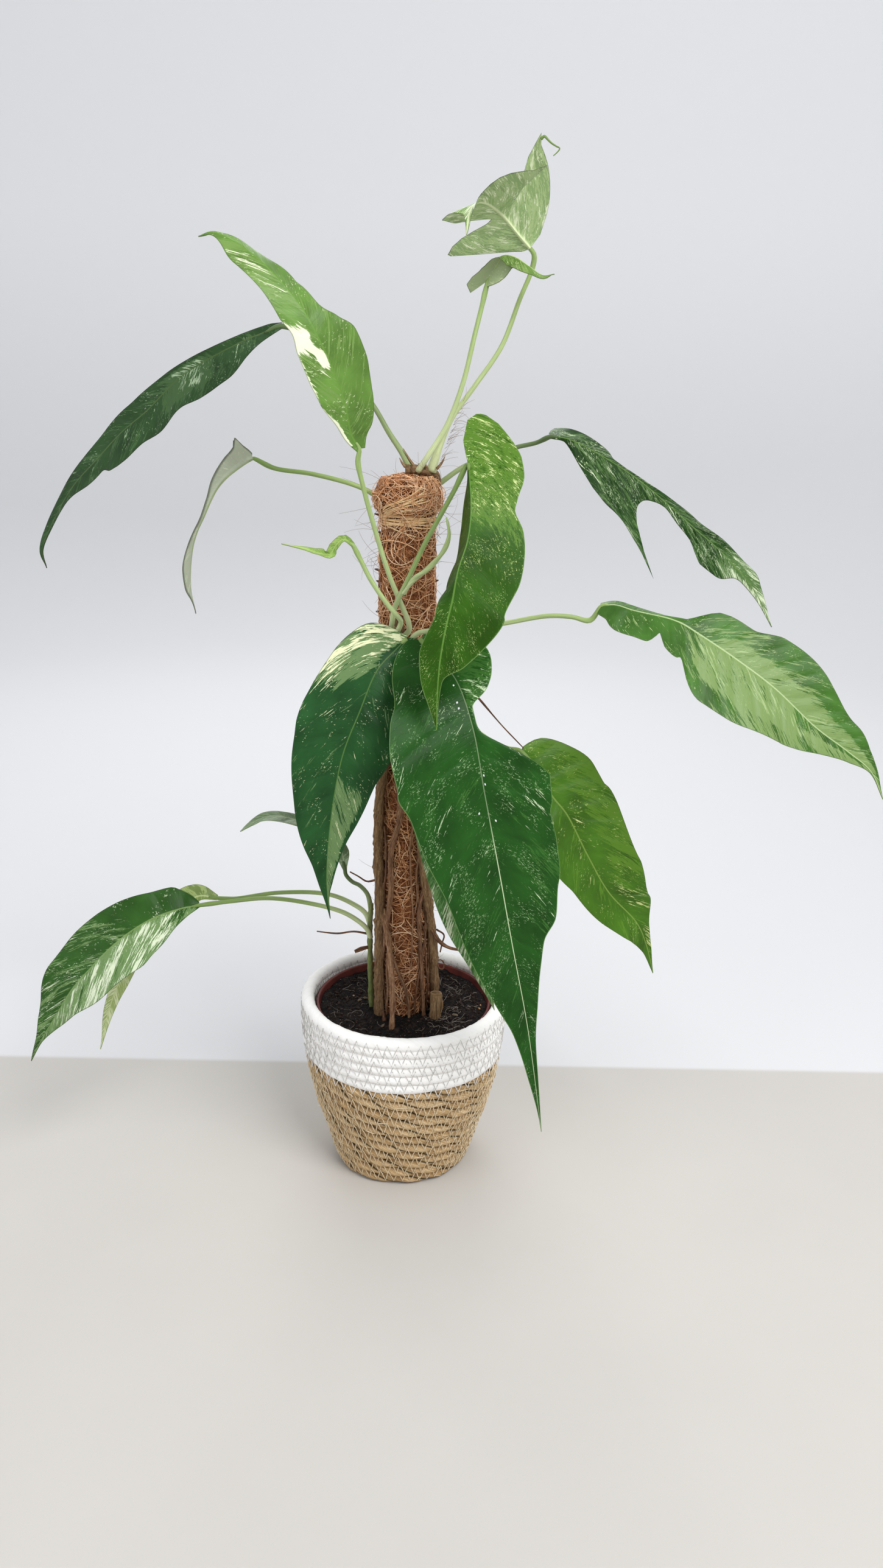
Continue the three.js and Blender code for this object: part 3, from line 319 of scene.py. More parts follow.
def effect(name, vector, values, results):
    """A new shader node group, with the sockets that go into it and those that its results go to."""
    group = bpy.data.node_groups.new(name, "ShaderNodeTree")
    for way, kind, names in (("INPUT", "Vector", vector), ("INPUT", "Float", values), ("OUTPUT", "Float", results)):
        for socket in names.split():
            group.interface.new_socket(name=socket, in_out=way, socket_type="NodeSocket" + kind)
    return group, group.nodes.new("NodeGroupInput").outputs, group.nodes.new("NodeGroupOutput").inputs


def sum_of(*values):
    """The sum of some values."""
    total = values[0]
    for value in values[1:]:
        total = maths("ADD", total, value)
    return total


def ramp(value, stops):
    """A colour that follows a value through stops of place and screen colour."""
    made = node("ValToRGB", {0: value})
    while len(made.color_ramp.elements) < len(stops):
        made.color_ramp.elements.new(1.0)
    for element, (place, colour) in zip(made.color_ramp.elements, stops):
        element.position = place
        element.color = tint(*colour)
    return made.outputs[0]


def vector_of(*parts):
    """A vector of three values."""
    return node("CombineXYZ", dict(enumerate(parts))).outputs[0]


def attribute(tree, label, output="Fac"):
    """What a piece keeps under a label."""
    return node("Attribute", {}, tree, attribute_name=label).outputs[output]


def fibre_grain():
    """Fine fibres that run along a strand: a value from 0 to 1, and a height for relief."""
    group, start, end = effect("fibre_grain", "Strand", "Length Width Seed", "Grain Height")
    parts = parts_of(start["Strand"])
    ahead = sum_of(maths("DIVIDE", parts[0], start["Length"]), start["Seed"])
    place = vector_of(ahead, *[maths("DIVIDE", parts[k], start["Width"]) for k in (1, 2)])
    coarse, fine = cloud(place, 1.0, 3.0, 0.6), cloud(place, 3.1)
    both = sum_of(times(coarse, 0.65), times(fine, 0.35))
    group.links.new(span(both, 0.3, 0.7), end["Grain"])
    group.links.new(both, end["Height"])
    return group


FIBRE_GRAIN = fibre_grain()


def strand_nodes(tree, length, width, seed=0.0):
    """A strand's place and its tone, with the grain of its fibres and their height."""
    place, tone = attribute(tree, "strand", "Vector"), attribute(tree, "tone")
    inputs = {"Strand": place, "Length": length, "Width": width, "Seed": seed}
    return place, tone, *node("Group", inputs, node_tree=FIBRE_GRAIN).outputs


def strand_finish(name, stops, length, width, depth=None, roughness=0.7, tone_share=0.5):
    """Fibres of one colour range. The strand's own tone has its share of the colour and their grain has the rest."""
    material, tree = bare_finish(name, Roughness=roughness)
    _, tone, grain, height = strand_nodes(tree, length, width)
    value = sum_of(times(grain, 1 - tone_share), times(tone, tone_share))
    paint(ramp(value, stops), height if depth else None, depth)
    return material


def cord_finish(name, stops, radius, length, width, depth, dark, roughness=0.85):
    """A two-ply cord: fibres, the cord's own tone, and painted shade that darkens the crease between its plies."""
    material, tree = bare_finish(name, Roughness=roughness)
    place, tone, grain, height = strand_nodes(tree, length, width)
    colour = ramp(sum_of(times(grain, 0.6), times(tone, 0.4)), stops)
    # Painted shade: the colour is darkened along the crease between the plies, down to the share given as dark.
    painted_crease_shade = span(maths("ABSOLUTE", parts_of(place)[1]), radius * 0.04, radius * 0.38, dark, 1.0)
    paint(mixed(1.0, colour, painted_crease_shade, "MULTIPLY"), height, depth)
    return material


def thread_finish(name, low, high):
    """A thin sewing thread with a fine twist."""
    return strand_finish(name, [(0.1, low), (0.9, high)], length=1.2, width=0.3, depth=0.0001)


def basket_radius(height):
    """The basket's outer radius at a height, in millimetres."""
    return np.interp(height, *np.array(BASKET_OUTLINE, float).T)


def basket_sway(turn, height):
    """How far the hand-sewn wall stands off its true circle there."""
    return 0.7 * np.sin(2 * turn + 0.6 + height / 60) + 0.4 * np.sin(5 * turn + height / 23)


def lay_coil(bundle, radius, height, thickness, step, twist, crease, tone, sides, lump=0.05):
    """One coil of cord, closed at the back of the basket, with the lumps that its twist and its sewing leave."""
    length = 2 * np.pi * radius
    count = int(length / step)
    turn = np.pi / 2 + 2 * np.pi * np.arange(count) / count
    waver = np.interp(turn, turn[::6], luck.normal(0, 0.28, len(turn[::6])))
    path = about(radius + basket_sway(turn, height), turn, height + waver * 0.7)
    turns = 2 * np.pi * max(round(length / twist), 1) / length
    lumps = np.interp(turn, turn[::5], luck.normal(0, lump, len(turn[::5])))
    width = thickness * (1 + luck.normal(0, 0.02, count) + lumps)
    bundle.lay(
        path, width, sides, tone, plies=2, crease=crease, twist=turns, outward=about(1, turn, 0),
        phase=luck.uniform(0, math.pi),
    )


def sew_row(bundle, low, high, coils, thickness, pitch, side=1, lift=0.35, gauge=STITCH_RADIUS):
    """A zigzag of thread between two heights. Coils are the heights of the cords' middles."""
    legs = 2 * int(np.pi * basket_radius((low + high) / 2) / pitch)
    share = np.arange(legs * 3 + 1) / 3
    turn = np.pi / 2 + 2 * np.pi * (share + luck.uniform(0, 2)) / legs
    jitter = np.interp(share, np.arange(legs + 1), luck.normal(0, 0.35, legs + 1))
    height = low + (high - low) * np.abs((share % 2) - 1) + jitter
    nearest = np.min(np.abs(height[:, None] - np.array(coils)[None]), axis=1)
    bulge = np.sqrt(np.maximum(thickness ** 2 - nearest ** 2, 0))
    outer = basket_radius(height) + basket_sway(turn, height)
    drop = np.minimum(thickness - bulge, 1.3)
    reach = outer - drop + lift if side > 0 else outer - 2 * thickness + drop - lift
    turn = turn + np.interp(share, np.arange(legs + 1), luck.normal(0, 0.004, legs + 1))
    bundle.lay(about(reach, turn, height), gauge, 4, luck.uniform(0.2, 0.9))


coil_pitch = BAND_FOOT / NATURAL_COILS
coil_heights = [FOOT_COIL_HEIGHT, *[(k + 0.5) * coil_pitch for k in range(1, NATURAL_COILS)]]
seagrass_cord = Bundle()
for height in coil_heights:
    thick = FOOT_COIL_RADIUS if height == FOOT_COIL_HEIGHT else COIL_RADIUS
    lay_coil(
        seagrass_cord, basket_radius(height) - thick, height, thick, step=1.7, twist=COIL_TWIST, crease=0.3,
        tone=luck.uniform(0.25, 0.75), sides=16, lump=0.08,
    )
for ring in range(FLOOR_RINGS):
    lay_coil(
        seagrass_cord, FIRST_RING + RING_PITCH * ring, FOOT_COIL_HEIGHT, FOOT_COIL_RADIUS, step=2.6,
        twist=COIL_TWIST, crease=0.2, tone=luck.uniform(0.25, 0.75), sides=10,
    )
seagrass_finish = cord_finish(
    "seagrass", [(0.05, (116, 86, 52)), (0.4, (186, 153, 108)), (0.85, (228, 204, 164))],
    COIL_RADIUS, length=24.0, width=1.2, depth=0.0008, dark=0.14,
)
seagrass_cord.piece("seagrass_coils", seagrass_finish, "seagrass", "basket_natural")

straw_thread = Bundle()
for low, high in zip(coil_heights[:-1], coil_heights[1:]):
    sew_row(straw_thread, low - STITCH_REACH, high + STITCH_REACH, coil_heights, COIL_RADIUS, STITCH_PITCH)
straw_finish = thread_finish("straw_thread", (214, 190, 150), (248, 234, 206))
straw_thread.piece("basket_stitches", straw_finish, "seagrass", "basket_natural")
loose_straws = Bundle()
share = np.linspace(0, 1, 6)
for k in range(LOOSE_STRAWS):
    turn = luck.normal(math.pi, 0.5) if k % 2 else luck.uniform(0, 2 * math.pi)
    height, tilt, length = luck.uniform(8, 102), luck.normal(0, 0.5), luck.uniform(5, 13)
    bearing = turn + share * length / 85 * luck.choice([-1, 1])
    reach = basket_radius(height) + basket_sway(turn, height) - 0.2 + luck.uniform(0.4, 2.2) * share ** 1.5
    path = about(reach, bearing, height + tilt * length * share * 0.6)
    loose_straws.lay(path, np.linspace(0.45, 0.2, 6), 4, luck.uniform(0.2, 0.9))
loose_straws.piece("basket_loose_straws", straw_finish, "seagrass")

# White rope band
# Six coils of white paper rope top the basket. They are sewn like the rest, with grey thread that shows as
# rows of crosses, outside and inside, and one white zigzag holds the band to the seagrass.
BAND_COILS = 6
BASKET_HEIGHT = 155
ROPE_RADIUS = 5.6
ROPE_TWIST = 34.0
BAND_STITCH_PITCH = 4.3
BAND_STITCH_RADIUS = 0.27
BAND_STITCH_REACH = 1.6

band_pitch = (BASKET_HEIGHT - BAND_FOOT) / BAND_COILS
band_heights = [BAND_FOOT + (k + 0.5) * band_pitch for k in range(BAND_COILS)]
band_heights[-1] = BASKET_HEIGHT - ROPE_RADIUS
white_cord = Bundle()
for height in band_heights:
    lay_coil(
        white_cord, basket_radius(height) - ROPE_RADIUS, height, ROPE_RADIUS, step=2.4, twist=ROPE_TWIST,
        crease=0.03, tone=luck.uniform(0.3, 0.8), sides=16, lump=0.016,
    )
white_finish = cord_finish(
    "white_rope", [(0.05, (244, 241, 237)), (0.45, (251, 249, 246)), (0.85, (255, 254, 252))],
    ROPE_RADIUS, length=9.0, width=0.9, depth=0.0003, dark=0.97, roughness=0.8,
)
white_cord.piece("white_rope_coils", white_finish, "white_rope", "basket_white_band")

grey_thread = Bundle()
for low, high in zip(band_heights[:-1], band_heights[1:]):
    for side in (1, -1):
        sew_row(
            grey_thread, low - BAND_STITCH_REACH, high + BAND_STITCH_REACH, band_heights, ROPE_RADIUS,
            BAND_STITCH_PITCH, side, lift=0.1, gauge=BAND_STITCH_RADIUS,
        )
grey_finish = thread_finish("grey_thread", (182, 180, 176), (214, 212, 208))
grey_thread.piece("band_stitches", grey_finish, "white_rope", "basket_white_band")
joining_thread = Bundle()
sew_row(
    joining_thread, coil_heights[-1] - 1.0, band_heights[0] + 0.6, coil_heights + band_heights, thickness=4.6,
    pitch=4.5, lift=0.45,
)
joining_finish = thread_finish("white_thread", (226, 224, 220), (244, 243, 240))
joining_thread.piece("joining_stitches", joining_finish, "white_rope", "basket_white_band")

# Nursery pot
# A thin red-brown plastic pot, pressed in one piece, stands on the basket's floor. A bead stiffens its rim,
# which shows as a narrow line between the soil and the white rope.
POT_FOOT = 9.3
POT_TOP = 147
POT_FOOT_RADIUS = 48
POT_RIM_RADIUS = 73.5


def pot_radius(height):
    """The pot's outer radius at a height, in millimetres."""
    return np.interp(height, (POT_FOOT, POT_TOP), (POT_FOOT_RADIUS, POT_RIM_RADIUS))


pot_outline = [
    (0.1, POT_FOOT), (POT_FOOT_RADIUS - 2, POT_FOOT), (POT_FOOT_RADIUS, POT_FOOT + 2), (pot_radius(70), 70),
    (pot_radius(139.5), 139.5), (pot_radius(140) + 1.1, 140), (pot_radius(146) + 1.4, 146),
    (POT_RIM_RADIUS + 1.1, 146.8), (POT_RIM_RADIUS + 0.2, POT_TOP), (POT_RIM_RADIUS - 0.9, 146.8),
    (POT_RIM_RADIUS - 1.3, 146), (pot_radius(120) - 1.2, 120), (pot_radius(60) - 1.2, 60), (0.1, 10.6),
]
pot_finish, tree = bare_finish("pot_plastic", Roughness=0.45)
pot_place = own_place(tree)
pot_cloud = cloud(pot_place, 90.0, 4.0)
pot_dust = cloud(pot_place, 700.0)
pot_tone = ramp(pot_cloud, [(0.3, (80, 33, 29)), (0.7, (108, 47, 39))])
pot_colour = mixed(span(pot_dust, 0.62, 0.7, 0.0, 0.5), pot_tone, (70, 50, 42))
paint(pot_colour, pot_dust, 0.0001, rough=span(pot_cloud, 0.3, 0.7, 0.38, 0.58))
belongs(turned("nursery_pot_shell", np.array(pot_outline) / 1000, 96, pot_finish), "pot_plastic", "nursery_pot")

# Soil
# Dark peat potting mix, pressed down by watering, with crumbs, chips of bark, a few pale grains and
# fine white roots on its surface. It fills the pot almost to the rim.
SOIL_TOP = 142
SOIL_RADIUS = 71.2
SOIL_SIDES = 250
SOIL_ROOTS = 120
SOIL_FOOT = 0.112
FOOT_TAPER = 0.97


def soil_height(x, y):
    """The soil's height at a place, in millimetres: broad lumps, clods and crumbs."""
    lumps = noise.noise(Vector((x / 22, y / 22, 3.1))) * 2.2
    clods = noise.noise(Vector((x / 7, y / 7, 7.7))) * 1.5
    crumbs = abs(noise.noise(Vector((x / 2.6, y / 2.6, 1.2)))) * 1.5
    return SOIL_TOP + lumps + clods + crumbs - 0.4


soil_rings = np.concatenate([np.linspace(16, 68, 62), [69.3, SOIL_RADIUS]])
soil_points = []
for reach in soil_rings:
    for j in range(SOIL_SIDES):
        turn = 2 * math.pi * (j + 0.5 * math.sin(reach)) / SOIL_SIDES
        x, y = reach * math.cos(turn), reach * math.sin(turn)
        soil_points.append((x / 1000, y / 1000, soil_height(x, y) / 1000))
soil_points += [(x * FOOT_TAPER, y * FOOT_TAPER, SOIL_FOOT) for x, y, _ in soil_points[-SOIL_SIDES:]]
soil_faces = [(a, d, c, b) for a, b, c, d in ring_faces(len(soil_rings) + 1, SOIL_SIDES)]
soil_finish, tree = bare_finish("peat_soil", Roughness=0.95)
soil_place = own_place(tree)
soil_cloud = cloud(soil_place, 160.0, 6.0, 0.7)
soil_grit = node("TexVoronoi", {"Vector": soil_place, "Scale": 620.0}).outputs[0]
soil_tone = ramp(soil_cloud, [(0.3, (9, 7, 7)), (0.52, (24, 19, 18)), (0.66, (46, 36, 31)), (0.8, (84, 65, 50))])
soil_pale = span(cloud(soil_place, 900.0, 1.0), 0.72, 0.78, 0.0, 0.7)
paint(mixed(soil_pale, soil_tone, (190, 178, 165)), sum_of(soil_cloud, soil_grit), 0.0012)
belongs(shaped("soil_surface", soil_points, soil_faces, soil_finish), "soil", "soil")


def chips(name, count, low, high, flat, finish, spots=None):
    """Small broken bits that lie on the soil, each a bent and flattened pebble of a few faces."""
    points, faces = [], []
    box = np.array([(x, y, z) for x in (-1, 1) for y in (-1, 1) for z in (-1, 1)], float)
    sides = [(0, 1, 3, 2), (4, 6, 7, 5), (0, 4, 5, 1), (2, 3, 7, 6), (0, 2, 6, 4), (1, 5, 7, 3)]
    for k in range(count):
        size = luck.uniform(low, high)
        reach, turn = 24 + 43 * math.sqrt(luck.uniform()), luck.uniform(0, 2 * math.pi)
        x, y = spots[k] if spots else (reach * math.cos(turn), reach * math.sin(turn))
        corner = box * luck.uniform(0.45, 1.0, (8, 1)) * (size, size * luck.uniform(0.35, 0.9), size * flat)
        lean = Matrix.Rotation(luck.uniform(0, 6.28), 3, "Z") @ Matrix.Rotation(luck.normal(0, 0.35), 3, "X")
        placed = corner @ np.array(lean.transposed()) + (x, y, soil_height(x, y) + size * flat * 0.55)
        faces += [tuple(len(points) + corner for corner in side) for side in sides]
        points += (placed / 1000).tolist()
    made = shaped(name, points, faces, finish, smooth=False)
    rounded = made.modifiers.new("rounded", "SUBSURF")
    rounded.levels = rounded.render_levels = 1
    belongs(made, "soil")


def crumb_finish(name, stops, roughness=0.9):
    """Broken bark, peat or grit, mottled all through."""
    material, tree = bare_finish(name, Roughness=roughness)
    mottle = cloud(own_place(tree), 260.0, 5.0, 0.7)
    paint(ramp(mottle, stops), mottle, 0.0006)
    return material


bark_finish = crumb_finish("bark_chips", [(0.3, (20, 15, 14)), (0.55, (46, 34, 29)), (0.75, (92, 70, 52))])
chips("soil_crumbs", 900, low=0.7, high=2.4, flat=0.6, finish=bark_finish)
chips("soil_bark", 46, low=2.4, high=4.6, flat=0.32, finish=bark_finish)
grain_finish = crumb_finish("pale_grains", [(0.3, (176, 118, 72)), (0.7, (226, 184, 136))], 0.7)
grain_spots = [(51, -26), (65, -6), (66, -2), (-44, 12), (50, -46), (30, -60)]
chips("soil_grains", len(grain_spots), low=1.2, high=1.9, flat=0.8, finish=grain_finish, spots=grain_spots)
husk_finish = crumb_finish("husk_chips", [(0.3, (70, 60, 50)), (0.55, (112, 98, 82)), (0.75, (150, 134, 112))])
husk_spots = [(-38.5, 3.6), (-33, 8), (-16, -41), (44, -20)]
chips("soil_husks", len(husk_spots), low=3.4, high=5.2, flat=0.4, finish=husk_finish, spots=husk_spots)
soil_roots = Bundle()
for _ in range(SOIL_ROOTS):
    side = luck.uniform() < 0.75
    x, y = luck.uniform(18, 60) * (1 if side else -1), luck.uniform(-46, 46)
    heading, bend = luck.uniform(0, 6.28), luck.normal(0, 0.35)
    path = []
    for k in range(6):
        if math.hypot(x, y) > 68:
            break
        path.append((x, y, soil_height(x, y) + 0.5 + 0.8 * math.sin(k * 1.3) ** 2))
        x, y, heading = x + 2.2 * math.cos(heading), y + 2.2 * math.sin(heading), heading + bend
    if len(path) > 2:
        soil_roots.lay(path, luck.uniform(0.1, 0.22), 3, luck.uniform())
soil_roots.piece("soil_fine_roots", thread_finish("white_roots", (78, 64, 54), (178, 168, 156)), "soil")

# Pole stake
# A dark moulded rod stiffens the pole from inside the coir and runs to the pot's floor. It shows nowhere on the
# finished plant, so it keeps the part's own solid.
stake_finish, tree = bare_finish("stake_plastic", Roughness=0.6)
paint(ramp(cloud(own_place(tree), 120.0), [(0.3, (48, 48, 46)), (0.7, (70, 69, 66))]))
stake_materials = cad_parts["pole_stake"].data.materials
stake_materials.clear()
stake_materials.append(stake_finish)

# Coir wrap of the pole
# Coconut fibre is felted round the stake and bound at the neck, below a ball of loose fibre at the top.
# A matted core carries thousands of crossing fibres, and stray hairs stand off it on every side.
POLE_OUTLINE = [
    (110, 20.8), (142, 20.8), (230, 21.4), (340, 20.5), (440, 21.3), (529, 20.8), (547, 18.6), (554, 18.6),
    (560, 21.8), (566, 23.2), (572, 22.6), (577, 19.8), (580.8, 15), (582.8, 8), (583.4, 0.5),
]
CORE_ROWS, CORE_SIDES = 190, 84
HEAD_FOOT = 556
FIBRE_COUNT = 4100
COARSE_COUNT = 620
HEAD_LOOPS = 240
HEAD_STRANDS = 34
HAIR_COUNT = 300
COLLAR_HAIRS = 30
HAIR_TIP = 0.07

pole_heights, pole_radii = np.array(POLE_OUTLINE, float).T
pole_length = np.concatenate([[0], np.cumsum(np.hypot(np.diff(pole_heights), np.diff(pole_radii)))])
pole_end = pole_length[-1]


def on_pole(along, turn, lift):
    """A point on the coir at a length up its outline and a turn round it, lifted off it, in millimetres."""
    height = np.interp(along, pole_length, pole_heights)
    rise = np.interp(along + 1, pole_length, pole_heights) - height
    return about(np.interp(along, pole_length, pole_radii) + lift, turn, height + lift * (1 - rise))


core_along = np.linspace(0, pole_end, CORE_ROWS)
core_turn = 2 * np.pi * np.arange(CORE_SIDES) / CORE_SIDES
core_points = on_pole(core_along[:, None], core_turn[None], -0.9).reshape(-1, 3)
for point in core_points:
    rough = noise.noise(Vector(point) / 5.5) + 0.6 * noise.noise(Vector(point) / 2.1)
    loose = 0.12 if point[2] > HEAD_FOOT else 0.05
    point[:2] *= 1 + loose * rough * min(1, math.hypot(point[0], point[1]) / 12)
core_finish, tree = bare_finish("coir_felt", Roughness=0.95)
core_cloud = cloud(own_place(tree), 190.0, 5.0, 0.7)
core_mat = cloud(own_place(tree), 700.0, 3.0, distortion=2.5)
core_mix = sum_of(times(core_cloud, 0.55), times(core_mat, 0.45))
# The core is painted darker than its fibres: partly the coir's own brown, partly painted shade for the gaps between
# the fibres.
core_tone_and_gap_shade = ramp(core_mix, [(0.36, (64, 35, 22)), (0.52, (142, 86, 52)), (0.68, (204, 142, 96))])
paint(core_tone_and_gap_shade, core_mix, 0.002)
core_faces = ring_faces(CORE_ROWS, CORE_SIDES)
belongs(shaped("coir_core", (core_points / 1000).tolist(), core_faces, core_finish), "coir", "pole_coir")


def felt(bundle, count, foot, steps, strides, lifts, arch, widths, tones, wander, bare=2):
    """Lays fibres on the coir above a length up its outline. Each wanders over it and arches off it between its
    ends. Bare is the length at the pole's end that they leave free."""
    for k in range(count):
        along, turn = luck.uniform(foot, pole_end - bare - 1), luck.uniform(0, 2 * math.pi)
        heading, bend = luck.uniform(0, 2 * math.pi), luck.normal(0, wander)
        lift, stride, rise = luck.uniform(*lifts), luck.uniform(*strides), luck.uniform(0.3, 1) * arch
        walk = []
        for step in range(steps):
            arched = lift + rise * math.sin(math.pi * step / (steps - 1)) + 0.3 * math.sin(step * 1.9 + k)
            walk.append((along, turn, arched))
            reach = max(np.interp(along, pole_length, pole_radii), 6)
            along = min(along + stride * math.cos(heading), pole_end - bare)
            turn += stride * math.sin(heading) / reach
            heading += bend
        bundle.lay(on_pole(*np.array(walk).T), luck.uniform(*widths), 3, luck.uniform(*tones))


coir_fibres = Bundle()
felt(
    coir_fibres, FIBRE_COUNT, 16, steps=8, strides=(1.8, 4.6), lifts=(-0.5, 0.6), arch=0.9, widths=(0.14, 0.32),
    tones=(0, 0.9), wander=0.16,
)
fibre_finish = strand_finish(
    "coir_fibre", [(0.1, (108, 60, 35)), (0.4, (194, 128, 82)), (0.75, (238, 188, 142)), (0.95, (253, 230, 200))],
    length=6.0, width=0.4, roughness=0.8, tone_share=0.75,
)
coir_fibres.piece("coir_fibres", fibre_finish, "coir", "pole_coir")

coarse_fibres = Bundle()
felt(
    coarse_fibres, COARSE_COUNT, 18, steps=11, strides=(2.2, 4.4), lifts=(0.0, 0.8), arch=1.3, widths=(0.26, 0.46),
    tones=(0.45, 1), wander=0.22,
)
felt(
    coarse_fibres, HEAD_LOOPS, 444, steps=12, strides=(2.4, 4.2), lifts=(0.2, 1.0), arch=4.8, widths=(0.18, 0.36),
    tones=(0.4, 1), wander=0.3, bare=17,
)
share = np.linspace(0, 1, 9)
for k in range(HEAD_STRANDS):
    turn = luck.uniform(-1.35, 0.3) + luck.normal(0, 0.25) * share
    height = 583 - (20 + luck.uniform(-4, 9)) * share
    reach = 18 + 6.5 * np.sin(share * 1.45) + luck.uniform(0, 2.2) * np.sin(np.pi * share)
    coarse_fibres.lay(about(reach, turn, height), luck.uniform(0.22, 0.45), 3, luck.uniform(0.6, 1))
coarse_fibres.piece("coir_coarse_fibres", fibre_finish, "coir", "pole_coir")


def lay_hair(bundle, at, heading, curl, stride, foot):
    """A stray hair that leaves a place in a heading, and curls and thins as it goes."""
    path = []
    for _ in range(8):
        path.append(tuple(at))
        at = at + heading * stride
        heading = (heading + curl).normalized()
    bundle.lay(path, np.linspace(foot, HAIR_TIP, 8), 3, luck.uniform(0.1, 0.9))


coir_hairs = Bundle()
for k in range(HAIR_COUNT):
    along = luck.uniform(30, pole_end - 4) if k % 3 else luck.uniform(pole_end - 90, pole_end - 6)
    turn = luck.uniform(0, 2 * math.pi)
    heading = Vector((math.cos(turn), math.sin(turn), luck.normal(0.15, 0.7))).normalized()
    curl = Vector(luck.normal(0, 0.33, 3)) * 0.55
    stride = luck.uniform(1.2, 3.6) if k % 6 else luck.uniform(3.5, 5.5)
    lay_hair(coir_hairs, Vector(on_pole(np.array(along), np.array(turn), -0.5)), heading, curl, stride, 0.15)
for k in range(COLLAR_HAIRS):
    share = luck.uniform()
    at = Vector((23 + 15 * share, -1 + 4 * share, 592 + 42 * share))
    heading = Vector((0.9, luck.normal(0, 0.5), luck.normal(0.55, 0.35))).normalized()
    lay_hair(coir_hairs, at, heading, Vector(luck.normal(0, 0.12, 3)), luck.uniform(1.0, 2.6), 0.14)
coir_hairs.piece("coir_hairs", thread_finish("coir_hair", (98, 74, 56), (176, 142, 112)), "coir")

# Raffia tie
# Strands of raffia bind the coir at the neck, pulled tight and wound round several times. They cross each
# other, and a few loops and ends of fibre stand off the sides.
NECK_HEIGHT = 551
NECK_REACH = 19.6
TIE_TURNS = 9
TIE_WRAPS = 16
TIE_SLANTS = 11

raffia_strands = Bundle()
for k in range(TIE_TURNS):
    turn = np.linspace(0, 2 * np.pi, 90, endpoint=False)
    tilt, offset = luck.normal(0, 1.1), luck.uniform(-3.2, 3.4)
    height = NECK_HEIGHT + offset + tilt * np.sin(turn + luck.uniform(0, 6)) + 0.5 * np.sin(3 * turn + k)
    reach = NECK_REACH + 0.35 * (k % 3) + np.abs(height - NECK_HEIGHT) * 0.12
    raffia_strands.lay(
        about(reach, turn, height), 0.74, 6, luck.uniform(0.2, 1), plies=2, crease=0.35, outward=about(1, turn, 0),
    )
for k in range(TIE_WRAPS):
    first = luck.uniform(0, 2 * math.pi)
    turn = first + np.linspace(0, luck.uniform(0.9, 2.2), 24)
    height = NECK_HEIGHT + np.linspace(-2, luck.uniform(-14, 18), 24) + 1.2 * np.sin(np.linspace(0, 5, 24) + k)
    reach = np.interp(height, pole_heights, pole_radii) + 0.9 + 0.6 * np.sin(np.linspace(0, 3, 24))
    raffia_strands.lay(about(reach, turn, height), 0.42, 5, luck.uniform(0.3, 1))
share = np.linspace(0, 1, 24)
for k in range(TIE_SLANTS):
    turn = np.radians(np.linspace(-140, -50, 24) + luck.normal(0, 9))
    height = 554 + luck.uniform(-2, 5) + luck.uniform(9, 19) * share + 1.3 * np.sin(5 * share + k)
    reach = np.interp(height, pole_heights, pole_radii) + 1.2 + luck.uniform(0.6, 2.2) * np.sin(np.pi * share)
    raffia_strands.lay(about(reach, turn, height), 0.5, 5, luck.uniform(0.4, 1))
raffia_finish = strand_finish(
    "raffia", [(0.1, (190, 144, 96)), (0.5, (230, 192, 140)), (0.9, (250, 230, 188))],
    length=12.0, width=0.35, depth=0.0003, roughness=0.6,
)
raffia_strands.piece("raffia_tie", raffia_finish, "raffia", "coir_tie")

# Climbing stems and their roots
# Woody stems climb the pole, pressed to the coir by aerial roots that run down it to the soil. Old leaf scars
# ring them at every hand's width, and their bark is brown, ridged and dry. The front stem is the longest.
CLASPING_ROOTS = 30


def smooth_path(points, count=200):
    """A centripetal Catmull-Rom curve through the points, resampled at even lengths."""
    marks = np.asarray(points, float)
    marks = np.vstack([2 * marks[0] - marks[1], marks, 2 * marks[-1] - marks[-2]])
    runs = []
    for i in range(1, len(marks) - 2):
        four = marks[i - 1:i + 3]
        knots = np.concatenate([[0], np.cumsum(np.linalg.norm(np.diff(four, axis=0), axis=1) ** 0.5)])
        at = np.linspace(knots[1], knots[2], 32, endpoint=False)[:, None]

        def between(low, high, first, second):
            return (knots[high] - at) / (knots[high] - knots[low]) * first + (
                (at - knots[low]) / (knots[high] - knots[low]) * second)

        first = [between(k, k + 1, four[k], four[k + 1]) for k in range(3)]
        second = [between(k, k + 2, first[k], first[k + 1]) for k in range(2)]
        runs.append(between(1, 2, second[0], second[1]))
    line = np.vstack([*runs, marks[-2]])
    length = np.concatenate([[0], np.cumsum(np.linalg.norm(np.diff(line, axis=0), axis=1))])
    even = np.linspace(0, length[-1], count)
    return np.stack([np.interp(even, length, line[:, k]) for k in range(3)], 1)


def climb(*rows):
    """Places round the pole, from rows of an angle in degrees from +X, a height, and a reach from its axis."""
    turns = [math.radians(degrees) for degrees, _, _ in rows]
    return [(reach * math.cos(turn), reach * math.sin(turn), height) for turn, (_, height, reach) in zip(turns, rows)]


def lay_stem(bundle, points, radii, tone=0.5, knots=0.0, sides=12, pace=2.2):
    """A stem or root whose radius follows its table, with uneven bark and a ring at each knot."""
    length = np.linalg.norm(np.diff(smooth_path(points, 60), axis=0), axis=1).sum()
    count = max(int(length / pace), 8)
    share = np.linspace(0, 1, count)
    stations, sizes = np.array(radii, float).T if np.ndim(radii) > 1 else ((0, 1), radii)
    width = np.interp(share, stations, sizes)
    along = share * length
    width = width * (1 + 0.06 * np.sin(along / 4.1 + tone * 9) + 0.05 * luck.normal(0, 1, count) * (width > 1.2))
    if knots:
        for knot in np.arange(knots * 0.6, length - 8, knots):
            width = width * (1 + 0.2 * np.exp(-((along - knot) / 2.0) ** 2))
    bundle.lay(smooth_path(points, count), width, sides, tone, plies=5, crease=0.12, twist=0.02)


